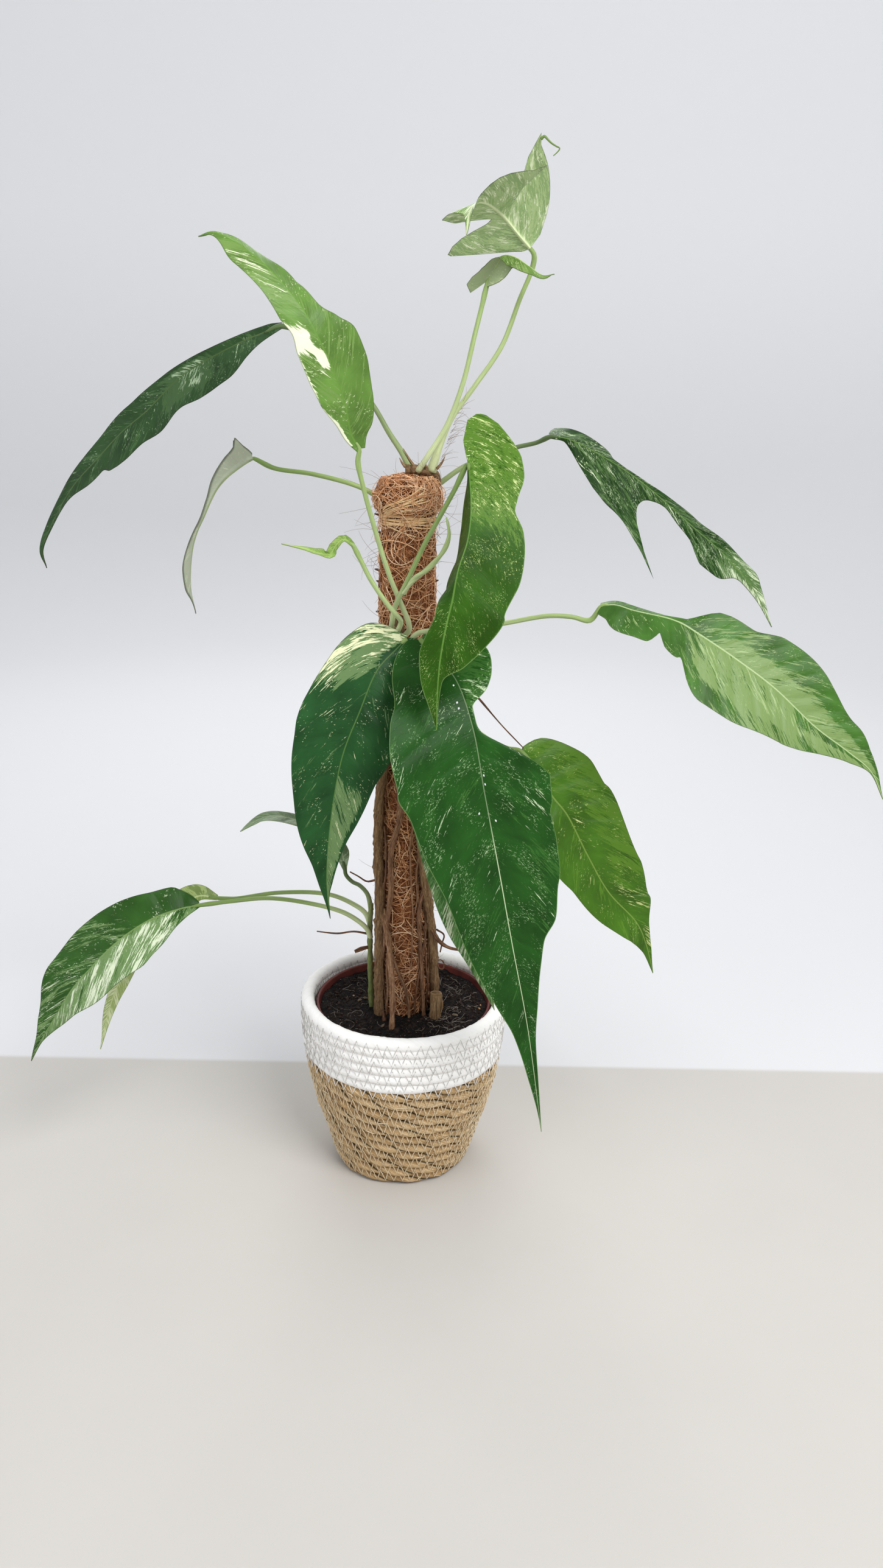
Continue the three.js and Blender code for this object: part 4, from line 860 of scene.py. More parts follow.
def bark_on(name, stops, roughness, depth):
    """Ridged bark: fibres along the stem, darker furrows and paler scuffs."""
    material, tree = bare_finish(name, Roughness=roughness)
    _, tone, grain, height = strand_nodes(tree, 14.0, 1.5)
    _, _, fine, fine_height = strand_nodes(tree, 3.0, 0.6, 4.0)
    value = sum_of(times(grain, 0.45), times(fine, 0.25), times(tone, 0.3))
    paint(ramp(value, stops), sum_of(height, times(fine_height, 0.5)), depth)
    return material


def ring_scar(bundle, middle, ahead, radius, thickness, tone):
    """A raised ring round a stem, where an old leaf was held."""
    axis = Vector(ahead).normalized()
    first = axis.cross(Vector((0.2, 1, 0.1))).normalized()
    turns = 2 * np.pi * np.arange(22) / 22
    outward = np.outer(np.cos(turns), first) + np.outer(np.sin(turns), axis.cross(first))
    uneven = 1 + 0.04 * np.sin(3 * turns + tone * 7)
    bundle.lay(np.array(middle) + outward * (radius * uneven)[:, None], thickness, 5, tone, outward=outward)


vine_bark = bark_on(
    "vine_bark", [(0.15, (66, 46, 32)), (0.45, (118, 90, 62)), (0.7, (152, 122, 88)), (0.92, (186, 160, 124))],
    0.8, 0.0012,
)
root_bark = bark_on(
    "root_bark", [(0.15, (58, 38, 29)), (0.45, (108, 75, 54)), (0.75, (160, 122, 92)), (0.95, (202, 170, 138))],
    0.82, 0.0008,
)
front_stem = Bundle()
lay_stem(front_stem, climb(
    (-140, 108, 26.5), (-140, 150, 26.5), (-141, 190, 26.2), (-140, 240, 26), (-145, 290, 26), (-138, 342, 26),
    (-108, 400, 25.8), (-98, 440, 25.8), (-97, 468, 26.2), (-106, 482, 27),
), [(0, 4.4), (0.5, 4.2), (0.85, 3.8), (1, 3.2)], 0.55, knots=46)
front_stem.piece("vine_front_stem", vine_bark, "vine", "vine_front")
front_roots = Bundle()
for path, radii, tone, sides in (
    (climb((-118, 380, 25), (-103, 350, 24), (-99, 322, 23.6), (-116, 290, 23.6), (-117, 256, 23.6),
           (-130, 212, 24), (-138, 190, 25)), (2.6, 2.2), 0.75, 10),
    ([*climb((-138, 236, 25)), (-12.8, -23.5, 215), (-10.4, -29, 195), (-8.4, -34, 176), (-8, -38.5, 161),
      (-8.5, -43.5, 141), (-8.5, -47, 124)], [(0, 2.2), (0.5, 2.6), (1, 2.2)], 0.95, 10),
    (climb((-136, 214, 25), (-118, 202, 23.2), (-101, 184, 23), (-84, 166, 23.4), (-78, 148, 25), (-78, 120, 27)),
     (1.6, 1.3), 0.6, 8),
    ([*climb((-150, 262, 27)), (-31, -10, 259), (-38, -9, 263), (-45, -7, 266)], (1, 0.6), 0.1, 6),
):
    lay_stem(front_roots, path, radii, tone, sides=sides)
front_roots.piece("vine_front_roots", root_bark, "vine", "vine_front")

back_stem = Bundle()
lay_stem(back_stem, [
    *climb((92, 108, 25.6), (92, 160, 25.6), (100, 240, 25.8), (84, 330, 25.6), (94, 420, 25.8), (80, 500, 25.6),
           (62, 548, 27.5)),
    (19, 18, 572), (19, 8, 582.5), (11, -1, 586.5), (-2, -3, 586.5),
], [(0, 4.2), (0.8, 3.8), (0.93, 4.6), (1, 4.2)], 0.5, knots=46)
back_stem.piece("vine_back_stem", vine_bark, "vine", "vine_back")
knob_scars = Bundle()
for middle, ahead, radius in (
    ((19, 9, 581.6), (0, -0.7, 0.7), 4.6), ((15.5, 4, 585), (-0.7, -0.8, 0.4), 4.7),
    ((8, -2, 587), (-1, -0.2, 0), 4.5), ((2.5, -2.8, 586.6), (-1, 0, 0), 4.4),
):
    ring_scar(knob_scars, middle, ahead, radius, 0.5, 0.0)
for path in (
    [(5, -4.5, 589), (0.5, -1.6, 595), (-4, 0.8, 602)], [(13, -5, 589), (12.5, -6.5, 592.5), (13, -7, 596)],
    [(21, -3, 588), (24.5, -3, 592), (27, -2, 597)], [(-2, -5, 589), (-4.5, -5, 592), (-6.5, -4, 595.5)],
):
    lay_stem(knob_scars, path, [(0, 1.2), (0.5, 0.8), (1, 0.3)], 0.75, sides=6, pace=1.2)
knob_scars.piece("vine_back_scars", vine_bark, "vine", "vine_back")
back_roots = Bundle()
for path, radii, tone in (
    (climb((92, 470, 26), (110, 440, 24.2), (122, 400, 23.6), (112, 352, 23.8), (92, 318, 25)), (2, 1.8), 0.6),
    (climb((90, 262, 26), (70, 236, 24), (62, 200, 23.4), (66, 156, 24.4), (68, 118, 26)), (2.2, 1.8), 0.5),
):
    lay_stem(back_roots, path, radii, tone, sides=8)
back_roots.piece("vine_back_roots", root_bark, "vine", "vine_back")

right_stem = Bundle()
lay_stem(right_stem, [
    (27, -4, 108), (27, -6, 145),
    *climb((-18, 176, 27), (-24, 206, 26.4), (-36, 236, 26), (-50, 268, 25.8), (-60, 310, 25.8), (-64, 350, 25.8),
           (-60, 392, 26), (-52, 424, 26.4)),
], [(0, 4.2), (0.3, 4), (0.9, 3.6), (1, 3)], 0.6, knots=38)
old_stump = [(27, -7, 110), (27, -18, 126), (27, -23, 141), (27.7, -19.5, 163)]
lay_stem(right_stem, old_stump, [(0, 4.6), (0.6, 5.1), (0.97, 5.3), (1, 4.7)], 0.7, sides=16)
ring_scar(right_stem, (27.7, -19.6, 162.6), (0.03, 0.16, 1), 4.2, 0.95, 1.0)
for path in (
    [(32, -21.5, 161), (33, -23, 153), (31.5, -24.5, 146)], [(29, -25.5, 159), (29.5, -27.5, 151), (29, -28, 144)],
):
    lay_stem(right_stem, path, [(0, 0.7), (0.6, 1.2), (1, 0.6)], 0.95, sides=6, pace=1.4)
right_stem.piece("vine_right_stem", vine_bark, "vine", "vine_right")
right_roots = Bundle()
for path, radii, tone in (
    ([*climb((-36, 226, 25)), (30, -16.5, 209), (38, -15.5, 203), (49, -14, 200)],
     [(0, 2), (0.4, 1.9), (1, 1.1)], 0.35),
    (climb((-46, 262, 25), (-58, 240, 23.6), (-54, 210, 23.4), (-50, 176, 24.2), (-48, 146, 26), (-48, 120, 28)),
     (2, 1.6), 0.5),
):
    lay_stem(right_roots, path, radii, tone, sides=8)
right_roots.piece("vine_right_roots", root_bark, "vine", "vine_right")

clasping_roots = Bundle()
for k in range(CLASPING_ROOTS):
    degrees = luck.choice([-146, -138, -128, -60, -48, -34, -20, 80, 100, 60, 118]) + luck.normal(0, 7)
    top = luck.uniform(190, 390) if k % 3 else luck.uniform(250, 470)
    foot = top - luck.uniform(60, 150)
    heights = np.linspace(top, max(foot, 128), 7)
    drift = np.cumsum(luck.normal(0, 5, 7))
    reach = 22.6 + luck.uniform(0, 1.2)
    path = climb(*[(degrees + drift[n], heights[n], reach + (0.9 if n in (0, 3) else 0)) for n in range(7)])
    size = luck.uniform(0.7, 1.5)
    lay_stem(clasping_roots, path, (size, size * 0.6), luck.uniform(0.1, 0.9), sides=6, pace=3.2)
for degrees, height, length in (
    (178, 540, 3), (182, 512, 4), (176, 503, 3), (184, 480, 3), (179, 466, 4), (-8, 505, 3), (-4, 470, 4),
    (170, 560, 4), (186, 553, 6), (6, 440, 3), (180, 455, 6),
):
    turn = math.radians(degrees)
    root = on_pole(np.array(height - 110.0), np.array(turn), -0.5)
    path = [root + np.array((math.cos(turn), math.sin(turn), 0.25)) * length * share for share in (0, 0.4, 0.8, 1.2)]
    lay_stem(clasping_roots, path, [(0, 1.1), (0.6, 0.9), (1, 0.5)], 0.0, sides=6, pace=1.0)
for path, radii, tone in (
    ([(-20, 4, 168), (-24.5, 4, 163), (-28.5, 6, 154), (-30, 7, 141)], (1.3, 1.6), 0.9),
    ([(-15, -31, 140), (-15.5, -30.5, 146), (-16.5, -30, 151)], (2, 1.3), 0.05),
    ([(-8, -35, 140), (-8.5, -35, 146), (-7.5, -34, 150)], (1.8, 1.2), 0.1),
    ([(27, -8, 216), (33.5, -6, 210), (32, -7, 203), (30.5, -8, 195)], (0.9, 0.6), 0.3),
    ([(24, -10, 186), (31, -8, 188), (34, -7, 184), (33, -7, 179), (30, -8, 180), (29, -9, 184)], (0.7, 0.45), 0.4),
):
    lay_stem(clasping_roots, path, radii, tone, sides=8, pace=1.4)
clasping_roots.piece("clasping_roots", root_bark, "vine")

# Green shoot at the left of the pole
# A young side shoot stands on the left, still green and smooth, and carries the three lowest leaves.
# Two thin dry tendrils and a blunt brown stub leave it.
shoot_finish = strand_finish(
    "shoot_skin", [(0.1, (84, 92, 56)), (0.5, (122, 134, 80)), (0.9, (160, 166, 110))],
    length=9.0, width=1.2, depth=0.0004, roughness=0.5,
)
left_shoot = Bundle()
shoot_path = [(-27, -5, 108), (-27.5, -5, 150), (-28.5, -6, 185), (-28.5, -7, 215), (-27.5, -7, 238)]
lay_stem(left_shoot, shoot_path, (2.6, 2.2), 0.4, knots=30)
left_shoot.piece("left_shoot_stem", shoot_finish, "shoot", "shoot_left")
left_tendrils = Bundle()
tendril_path = [(-28.5, -7, 210), (-42, -11, 214), (-55, -13, 213), (-72, -16, 216)]
lay_stem(left_tendrils, tendril_path, (1, 0.6), 0.1, sides=6)
stub_path = [(-28.5, -6, 198), (-35, -10, 198), (-41, -12, 196)]
lay_stem(left_tendrils, stub_path, [(0, 1.7), (0.7, 2.1), (1, 1.4)], 0.4, sides=8, pace=1.2)
left_tendrils.piece("left_shoot_tendrils", root_bark, "shoot", "shoot_left")

# Top lobed leaf
# The newest grown leaf stands highest, on a long stalk from the stem's end, and is the most cut of all.
# It leans back over the plant, so that its pale underside and thick midrib face forward, and its tip folds over.
SWEEP = [(0, 118), (0.06, 98), (0.2, 72), (0.5, 58), (0.85, 42), (1, 25)]
VEIN_BEND = 0.25
LEAST_SWEEP = 12
BLADE_THICKNESS = 0.7
LEAF_TIP = (1, 0.6)
ROW_PACE = 2.1
COLUMN_PACE = 2.3
STATION_BLUR = 0.035
SHARE_BLUR = 0.09
HOLE_SHRINK = 0.28
LINE_POINTS = 400
LEAF_SPECULAR = 0.14
LEAF_ROUGHNESS = 0.28


def gentle(table, at):
    """Reads a margin table along a smooth line that never swings past its rows."""
    x, y = np.array(table, float).T
    width, slope = np.diff(x), np.diff(y) / np.diff(x)
    flow = np.zeros_like(y)
    flow[0], flow[-1] = slope[0], slope[-1]
    for k in range(1, len(y) - 1):
        if slope[k - 1] * slope[k] > 0:
            first, second = 2 * width[k] + width[k - 1], width[k] + 2 * width[k - 1]
            flow[k] = (first + second) / (first / slope[k - 1] + second / slope[k])
    k = np.clip(np.searchsorted(x, at, side="right") - 1, 0, len(x) - 2)
    t = (at - x[k]) / width[k]
    return (
        (1 + 2 * t) * (1 - t) ** 2 * y[k] + t * (1 - t) ** 2 * width[k] * flow[k]
        + t ** 2 * (3 - 2 * t) * y[k + 1] + t ** 2 * (t - 1) * width[k] * flow[k + 1]
    )


def soft_step(value, low, high):
    """0 below low, 1 above high, and an even turn between."""
    share = np.clip((value - low) / (high - low), 0, 1)
    return share * share * (3 - 2 * share)


def stretch(value, low, high, blur):
    """1 from low to high and 0 outside, with soft ends, save at 0 and at 1."""
    begun = soft_step(value, low - blur, low + blur) if low > 0 else np.ones(len(value))
    return begun * (1 - soft_step(value, high - blur, high + blur) * (high < 1))


def unit(vectors):
    """Vectors brought to a length of one."""
    return vectors / np.linalg.norm(vectors, axis=1)[:, None]


def grow_leaf(
    name, slot, stalk_finish, stalk, midrib, face, left, right, seed, skin, fold=((0, 5, 5), (1, 5, 5)),
    sweep=SWEEP, sweep_left=None, bend=VEIN_BEND, rib=1.1, vein_gap=14.0, vein_depth=0.6, wave=0.8, sectors=(),
    mists=(), holes=(), stalk_radii=((0, 2.3), (0.3, 1.9), (1, 1.7)),
):
    """A blade of lateral veins swept off a midrib, with its stalk. It stands for the part's solid of that name.
    The midrib starts where the stalk ends. Face is the way that the blade faces and fold how far each half is
    turned up, in degrees, both by station. Left and right are each side's margin, as station and reach.
    Sectors are rows of side, start, end, inner share, outer share and amount, where the palest tone gathers, and
    mists are such rows for the middle tone. Holes are pin holes, each at a station and a distance off the rib."""
    left, right = [*left, LEAF_TIP], [*right, LEAF_TIP]
    line = smooth_path(midrib, LINE_POINTS)
    length = np.linalg.norm(np.diff(line, axis=0), axis=1).sum()
    named = [row[0] for row in (*left, *right)]
    stations = np.sort(np.concatenate([np.linspace(0, 1, int(length / ROW_PACE)), named]))
    stations = stations[np.concatenate([[True], np.diff(stations) > 0.0016])]
    slope = np.gradient(line, axis=0)
    at = stations * (LINE_POINTS - 1)
    spot, tangent = (
        np.stack([np.interp(at, np.arange(LINE_POINTS), table[:, k]) for k in range(3)], 1) for table in (line, slope)
    )
    tangent = unit(tangent)
    hint = np.stack([np.interp(stations, *np.array(face, float)[:, (0, k)].T) for k in (1, 2, 3)], 1)
    normal = unit(hint - tangent * np.sum(hint * tangent, axis=1)[:, None])
    across = np.cross(tangent, normal)
    widest = max(row[1] for row in (*left, *right))
    columns = int(np.clip(widest / COLUMN_PACE, 7, 24))
    share = (np.arange(columns + 1) / columns) ** 1.25
    fine_share = np.interp(np.arange(3 * columns + 1) / 3, np.arange(columns + 1), share)
    chance = np.random.default_rng(seed)
    sides = []
    for side, table, turns in ((-1, left, sweep_left or sweep), (1, right, sweep)):
        reach = gentle(table, stations)
        start = np.interp(stations, *np.array(turns, float).T)
        lean = np.radians(np.interp(stations, *np.array(fold, float)[:, (0, 1 if side < 0 else 2)].T))[:, None]
        outward = side * np.cos(lean) * across + np.sin(lean) * normal
        face_normal = np.cos(lean) * normal - side * np.sin(lean) * across
        out = reach[:, None] * fine_share
        turn = np.radians(np.maximum(start[:, None] - bend * (out[:, 1:] + out[:, :-1]) / 2, LEAST_SWEEP))
        ahead = np.cumsum(np.cos(turn) * np.diff(out), axis=1)[:, 2::3]
        beside = np.cumsum(np.sin(turn) * np.diff(out), axis=1)[:, 2::3]
        points = spot[:, None] + ahead[..., None] * tangent[:, None] + beside[..., None] * outward[:, None]
        out = out[:, 3::3]
        along = stations[:, None] * length
        veins = np.arange(chance.uniform(5, vein_gap), length, vein_gap)
        veins = veins + chance.normal(0, vein_gap * 0.13, len(veins))
        apart = np.min(np.abs(along[..., None] - veins), axis=-1)
        held = soft_step(share[1:], 0.02, 0.2) * (1 - soft_step(share[1:], 0.75, 1.0))
        height = (0.4 * np.minimum(apart / 6, 1) - np.exp(-(apart / 1.9) ** 2)) * vein_depth * held
        swell = np.sin(along / 9.5 + chance.uniform(0, 6) + 0.8 * np.sin(along / 23))
        height = (height + wave * share[1:] ** 3 * swell) * np.minimum(reach / 9, 1)[:, None]
        height = height - 0.3 * (1 - stations[:, None]) * np.exp(-(out / 1.3) ** 2)
        tones = []
        for rows in (sectors, mists):
            gathered = np.zeros_like(out)
            for which, first, last, inner, outer, amount in rows:
                if which in (0, side):
                    band = stretch(stations, first, last, STATION_BLUR)[:, None]
                    gathered += amount * band * stretch(share[1:], inner, outer, SHARE_BLUR)
            tones.append(gathered)
        facing = np.repeat(face_normal[:, None], columns, 1)
        sides.append((points, facing, side * out, reach[:, None] - out, height, *tones))
    flat = np.zeros((len(stations), 1))
    middles = (spot[:, None], normal[:, None], flat, flat + 20, flat - 0.3 * (1 - stations[:, None]), flat, flat)
    points, facing, out, edge, height, sector, mist = (
        np.concatenate([one[:, ::-1], middle, other], axis=1)
        for one, middle, other in zip(sides[0], middles, sides[1])
    )
    for gathered in (sector, mist):
        gathered[:, columns] = (gathered[:, columns - 1] + gathered[:, columns + 1]) / 2
    rows, width = out.shape
    bored = np.zeros((rows - 1, width - 1), bool)
    for station, off in holes:
        row = int(np.argmin(np.abs(stations - station)))
        column = int(np.argmin(np.abs((out[row, :-1] + out[row, 1:]) / 2 - off)))
        bored[row, column] = True
        cell = points[row:row + 2, column:column + 2]
        cell += HOLE_SHRINK * (cell.mean(axis=(0, 1)) - cell)
    rim = np.concatenate([share[:0:-1], [0], share[1:]])
    half = BLADE_THICKNESS / 2 * (1 - 0.55 * rim ** 8)
    ridge = rib * (1 - stations[:, None]) * np.exp(-(out / 1.25) ** 2)
    upper = points + facing * (height + half)[..., None]
    lower = points + facing * (height - half - ridge)[..., None]
    index = np.arange(rows * width).reshape(rows, width)
    a, b, c, d = index[:-1, :-1], index[:-1, 1:], index[1:, 1:], index[1:, :-1]
    beneath = rows * width
    top = np.stack([a, b, c, d], -1)[~bored]
    under = np.stack([a, d, c, b], -1)[~bored] + beneath
    walls = [
        np.stack([last, first, first + beneath, last + beneath], -1)[bored]
        for first, last in ((a, b), (b, c), (c, d), (d, a))
    ]
    loop = np.concatenate([index[:-1, 0], index[-1, :-1], index[:0:-1, -1], index[0, :0:-1]])
    after = np.roll(loop, -1)
    skirt = np.stack([loop, after, after + beneath, loop + beneath], -1)
    everywhere = np.concatenate([upper.reshape(-1, 3), lower.reshape(-1, 3)]) / 1000
    faces = np.concatenate([top, under, skirt, *walls]).tolist()
    finish = leaf_finish(name.removeprefix("leaf_") + "_skin", seed, **skin)
    blade = shaped(name + "_blade", everywhere.tolist(), faces, finish)
    along = np.broadcast_to(stations[:, None] * length, out.shape)
    both = [np.stack([along, out, np.full(out.shape, below)], -1).reshape(-1, 3) for below in (0.0, 1.0)]
    keep(blade, "blade", np.concatenate(both))
    for label, values in (("sector", sector), ("mist", mist), ("edge", edge)):
        keep(blade, label, np.tile(values.ravel(), 2))
    blade.data.set_sharp_from_angle(angle=math.radians(55))
    belongs(blade, slot, name)
    base, ahead = np.array(midrib[0], float), np.array(midrib[1], float)
    course = smooth_path([*stalk, base, base + 0.45 * (ahead - base)], max(35 + len(stalk) * 5, 40))
    run = np.linspace(0, 1, len(course))
    girth = np.interp(run, *np.array(stalk_radii, float).T) * (1 + 0.2 * np.exp(-((run - 0.9) / 0.035) ** 2))
    girth = girth * (1 - 0.45 * soft_step(run, 0.955, 1.0))
    stalk_run = Bundle()
    stalk_run.lay(course, girth, 12, run, plies=1, crease=0.1)
    stalk_run.piece(name + "_stalk", stalk_finish, slot, name)


def patches(value, share, pull, low, high):
    """A mask of the places where a value passes a line that falls as their share of the leaf grows."""
    line = sum_of(times(maths("SUBTRACT", 0.5, share), pull), 0.5)
    return span(maths("SUBTRACT", value, line), low, high)


def leaf_marbling():
    """Variegation: a mask of streaks and blotches that run along the lateral veins, crisp and ragged at their edges.
    Its slant turns them from the veins towards the leaf's tip."""
    group, start, end = effect("leaf_marbling", "Blade", "Sector Seed Share Size Slant", "Mask")
    parts = parts_of(start["Blade"])
    slanted = times(maths("ABSOLUTE", parts[1]), start["Slant"])
    turned_back = maths("SUBTRACT", parts[0], slanted)
    sizes = [maths("DIVIDE", way, start["Size"]) for way in (turned_back, parts[1])]
    layers = []
    for along_scale, out_scale, shift, detail, weight in (
        (0.06, 0.022, 0.0, 2.0, 0.34), (0.34, 0.05, 5.0, 5.0, 0.4), (1.1, 0.17, 9.0, 3.0, 0.26),
    ):
        stretched = vector_of(
            times(sizes[0], along_scale), times(sizes[1], out_scale),
            maths("ADD", start["Seed"], shift),
        )
        layers.append(times(cloud(stretched, 1.0, detail, 0.6), weight))
    value = sum_of(*layers, times(start["Sector"], 0.3))
    group.links.new(patches(value, start["Share"], 0.22, -0.008, 0.008), end["Mask"])
    return group


def leaf_veining():
    """Fine lateral veins: how strongly one shows at a place, and the height of the quilted skin between them."""
    group, start, end = effect("leaf_veining", "Blade", "Seed", "Line Height")
    parts = parts_of(start["Blade"])
    wander = cloud(start["Blade"], 0.06, 1.0)
    place = sum_of(times(parts[0], 0.17), times(wander, 1.6), start["Seed"])
    swing = maths("PINGPONG", place, 0.5)
    line = times(span(swing, 0.0, 0.06, 1.0, 0.0), span(wander, 0.35, 0.6))
    stretched = vector_of(times(parts[0], 0.4), times(parts[1], 0.1), start["Seed"])
    group.links.new(line, end["Line"])
    skin = cloud(stretched, 1.0, 3.0)
    group.links.new(sum_of(skin, times(line, -0.2)), end["Height"])
    return group


def leaf_flecking():
    """Small pale flecks, longer along the lateral veins than across them, crowded in some places and rare in
    others."""
    group, start, end = effect("leaf_flecking", "Blade", "Seed Share Size", "Mask")
    parts = parts_of(start["Blade"])
    sizes = [maths("DIVIDE", times(parts[k], scale), start["Size"]) for k, scale in ((0, 0.72), (1, 0.3))]
    stretched = vector_of(*sizes, start["Seed"])
    coarse, fine = cloud(stretched, 1.0, 2.0, 0.7), cloud(stretched, 2.9, 1.0)
    crowd = span(cloud(start["Blade"], 0.05, 1.0), 0.38, 0.66, -0.07, 0.05)
    value = sum_of(times(coarse, 0.66), times(fine, 0.34), crowd)
    group.links.new(patches(value, start["Share"], 0.32, -0.01, 0.012), end["Mask"])
    return group


LEAF_MARBLING = leaf_marbling()
LEAF_FLECKING = leaf_flecking()
LEAF_VEINING = leaf_veining()


def shaded(colour, share):
    """A screen colour made darker or lighter."""
    return tuple(channel * share for channel in colour)


def leaf_finish(
    name, seed, deep, mid, pale, mid_share=0.4, pale_share=0.0, fleck_share=0.06, size=0.6, rib_tone=(168, 192, 120),
    under_tone=(168, 184, 138), under_share=0.5, margin_tone_and_shade=(120, 128, 84), edge_width=0.8, slant=0.45,
    shine=LEAF_SPECULAR, rib_width=1.0, rib_start=-60.0, fleck_size=1.0,
):
    """A blade's skin in three greens: deep, mid and pale, with pale flecks, its midrib, margin and underside."""
    material, tree = bare_finish(name, Specular_IOR_Level=shine)
    blade = attribute(tree, "blade", "Vector")
    sector, mist, edge = (attribute(tree, label) for label in ("sector", "mist", "edge"))
    along, out, beneath = parts_of(blade)

    def marbled(shift, share, pull):
        inputs = {"Blade": blade, "Sector": pull, "Seed": seed + shift, "Share": share, "Size": size, "Slant": slant}
        return node("Group", inputs, node_tree=LEAF_MARBLING).outputs[0]

    mottle = cloud(blade, 0.035, 3.0)
    colour = ramp(mottle, [(0.32, shaded(deep, 0.84)), (0.68, shaded(deep, 1.14))])
    veining = node("Group", {"Blade": blade, "Seed": seed * 0.37}, node_tree=LEAF_VEINING).outputs
    fleck_inputs = {"Blade": blade, "Seed": seed + 57.0, "Share": fleck_share, "Size": fleck_size}
    flecks = node("Group", fleck_inputs, node_tree=LEAF_FLECKING).outputs[0]
    fleck_tone = tuple(0.4 * a + 0.6 * b for a, b in zip(mid, pale))
    for mask, tone in (
        (marbled(0.0, mid_share, sum_of(mist, times(sector, 0.4))), mid),
        # Painted shade: the lateral vein lines are darkened where their grooves lie.
        (times(veining["Line"], 0.12), shaded(deep, 0.7)), (times(flecks, 0.9), fleck_tone),
        (marbled(31.0, pale_share, sector), pale),
    ):
        colour = mixed(mask, colour, tone)
    colour = mixed(beneath, colour, mixed(under_share, colour, under_tone))
    off_rib = maths("ABSOLUTE", out)
    rib = times(
        span(off_rib, 0.3 * rib_width, 0.95 * rib_width, 0.85, 0.0),
        span(along, rib_start, rib_start + 60, 0.3, 1.0),
    )
    colour = mixed(rib, colour, rib_tone)
    # The band along the margin: where its tone is darker than the blade, as on most leaves, it is painted shade along
    # the edge.
    colour = mixed(span(edge, 0.2 * edge_width, edge_width, 0.7, 0.0), colour, margin_tone_and_shade)
    rough = sum_of(times(beneath, 0.2), times(mottle, 0.12), LEAF_ROUGHNESS)
    paint(colour, veining["Height"], 0.00035, 0.6, rough)
    return material


def stalk_skin(name, foot, middle, top):
    """A smooth leaf stalk: palest where it leaves the stem, greener towards the blade, and faintly streaked."""
    material, tree = bare_finish(name, Roughness=0.42)
    _, run, grain, height = strand_nodes(tree, 22.0, 1.0)
    streak = span(grain, 0.0, 1.0, 0.86, 1.08)
    colour = ramp(run, [(0.04, foot), (0.4, middle), (0.95, top)])
    paint(mixed(1.0, colour, streak, "MULTIPLY"), height, 0.0002)
    return material


PALE_STALK = stalk_skin("stalk_pale", (206, 214, 166), (180, 196, 138), (146, 170, 102))
GREEN_STALK = stalk_skin("stalk_green", (206, 216, 166), (150, 172, 106), (116, 142, 76))
DARK_STALK = stalk_skin("stalk_dark", (150, 164, 112), (112, 130, 84), (84, 104, 64))

grow_leaf(
    "leaf_top_lobed", "pale_leaf", PALE_STALK, seed=3, wave=0.4, vein_depth=0.3, vein_gap=9.0, bend=0.1, rib=1.8,
    skin=dict(deep=(108, 142, 76), mid=(158, 184, 120), pale=(234, 240, 204), mid_share=0.55, pale_share=0.28,
              size=0.38, rib_tone=(222, 231, 184), under_tone=(188, 204, 158), under_share=0.32,
              margin_tone_and_shade=(70, 80, 50), rib_width=1.9),
    stalk=[(17, 1, 586), (23, 0, 604), (31, 2, 623), (48, 4, 647), (67, 6, 675), (79, 9, 707), (87, 10, 727),
           (88, 8, 736)],
    midrib=[(84, 6, 741), (75, -1, 749), (66.5, -8, 757), (59, -15, 762.5), (52, -22, 765), (45.5, -29, 764),
            (41, -35, 757), (39, -40, 743)],
    face=[(0, -0.3, 0.8, 0.55), (0.45, -0.3, 0.6, 0.7), (0.8, -0.4, -0.3, 0.9), (1, -0.4, -0.9, 0.3)],
    fold=[(0, 0, 0), (0.3, 2, 0), (0.36, 2, 0), (0.39, -12, 0), (0.42, -25, 0), (0.5, -22, 0), (0.6, 0, 0),
          (1, 0, 0)],
    sweep=[(0, 110), (0.05, 85), (0.2, 58), (0.45, 60), (0.6, 54), (1, 30)],
    sweep_left=[(0, 110), (0.05, 85), (0.2, 57), (0.3, 56), (0.36, 76), (0.475, 79), (0.51, 74), (0.56, 60),
                (0.65, 42), (1, 25)],
    left=[(0, 1), (0.026, 11), (0.063, 23), (0.114, 37), (0.16, 49), (0.19, 55), (0.23, 63), (0.261, 54), (0.29, 44),
          (0.33, 30), (0.36, 19), (0.38, 15), (0.41, 15), (0.435, 19), (0.455, 31), (0.47, 56), (0.5, 48), (0.56, 29),
          (0.62, 15), (0.68, 10), (0.8, 5)],
    right=[(0, 2), (0.093, 18), (0.13, 32), (0.16, 51), (0.2, 38), (0.26, 26), (0.323, 14), (0.363, 9), (0.39, 16),
           (0.44, 27), (0.5, 32), (0.56, 33), (0.64, 23), (0.75, 9), (0.85, 4)],
    stalk_radii=((0, 4.4), (0.05, 3.4), (0.1, 2.6), (0.25, 1.9), (1, 1.7)),
)
lobe_tail = Bundle()
tail_line = smooth_path([
    (87, -31.5, 802.5), (89, -32.5, 804), (91.5, -32.6, 802), (94, -32.6, 800), (97, -32.6, 798.3),
    (99.5, -32.6, 797), (98.5, -32.6, 795.2), (95.5, -32.6, 792.5),
], 40)
lobe_tail.lay(tail_line, np.interp(np.linspace(0, 1, 40), (0, 0.3, 1), (1, 0.7, 0.3)), 8, 1.0)
lobe_tail.piece("top_lobe_tail", GREEN_STALK, "pale_leaf", "leaf_top_lobed")

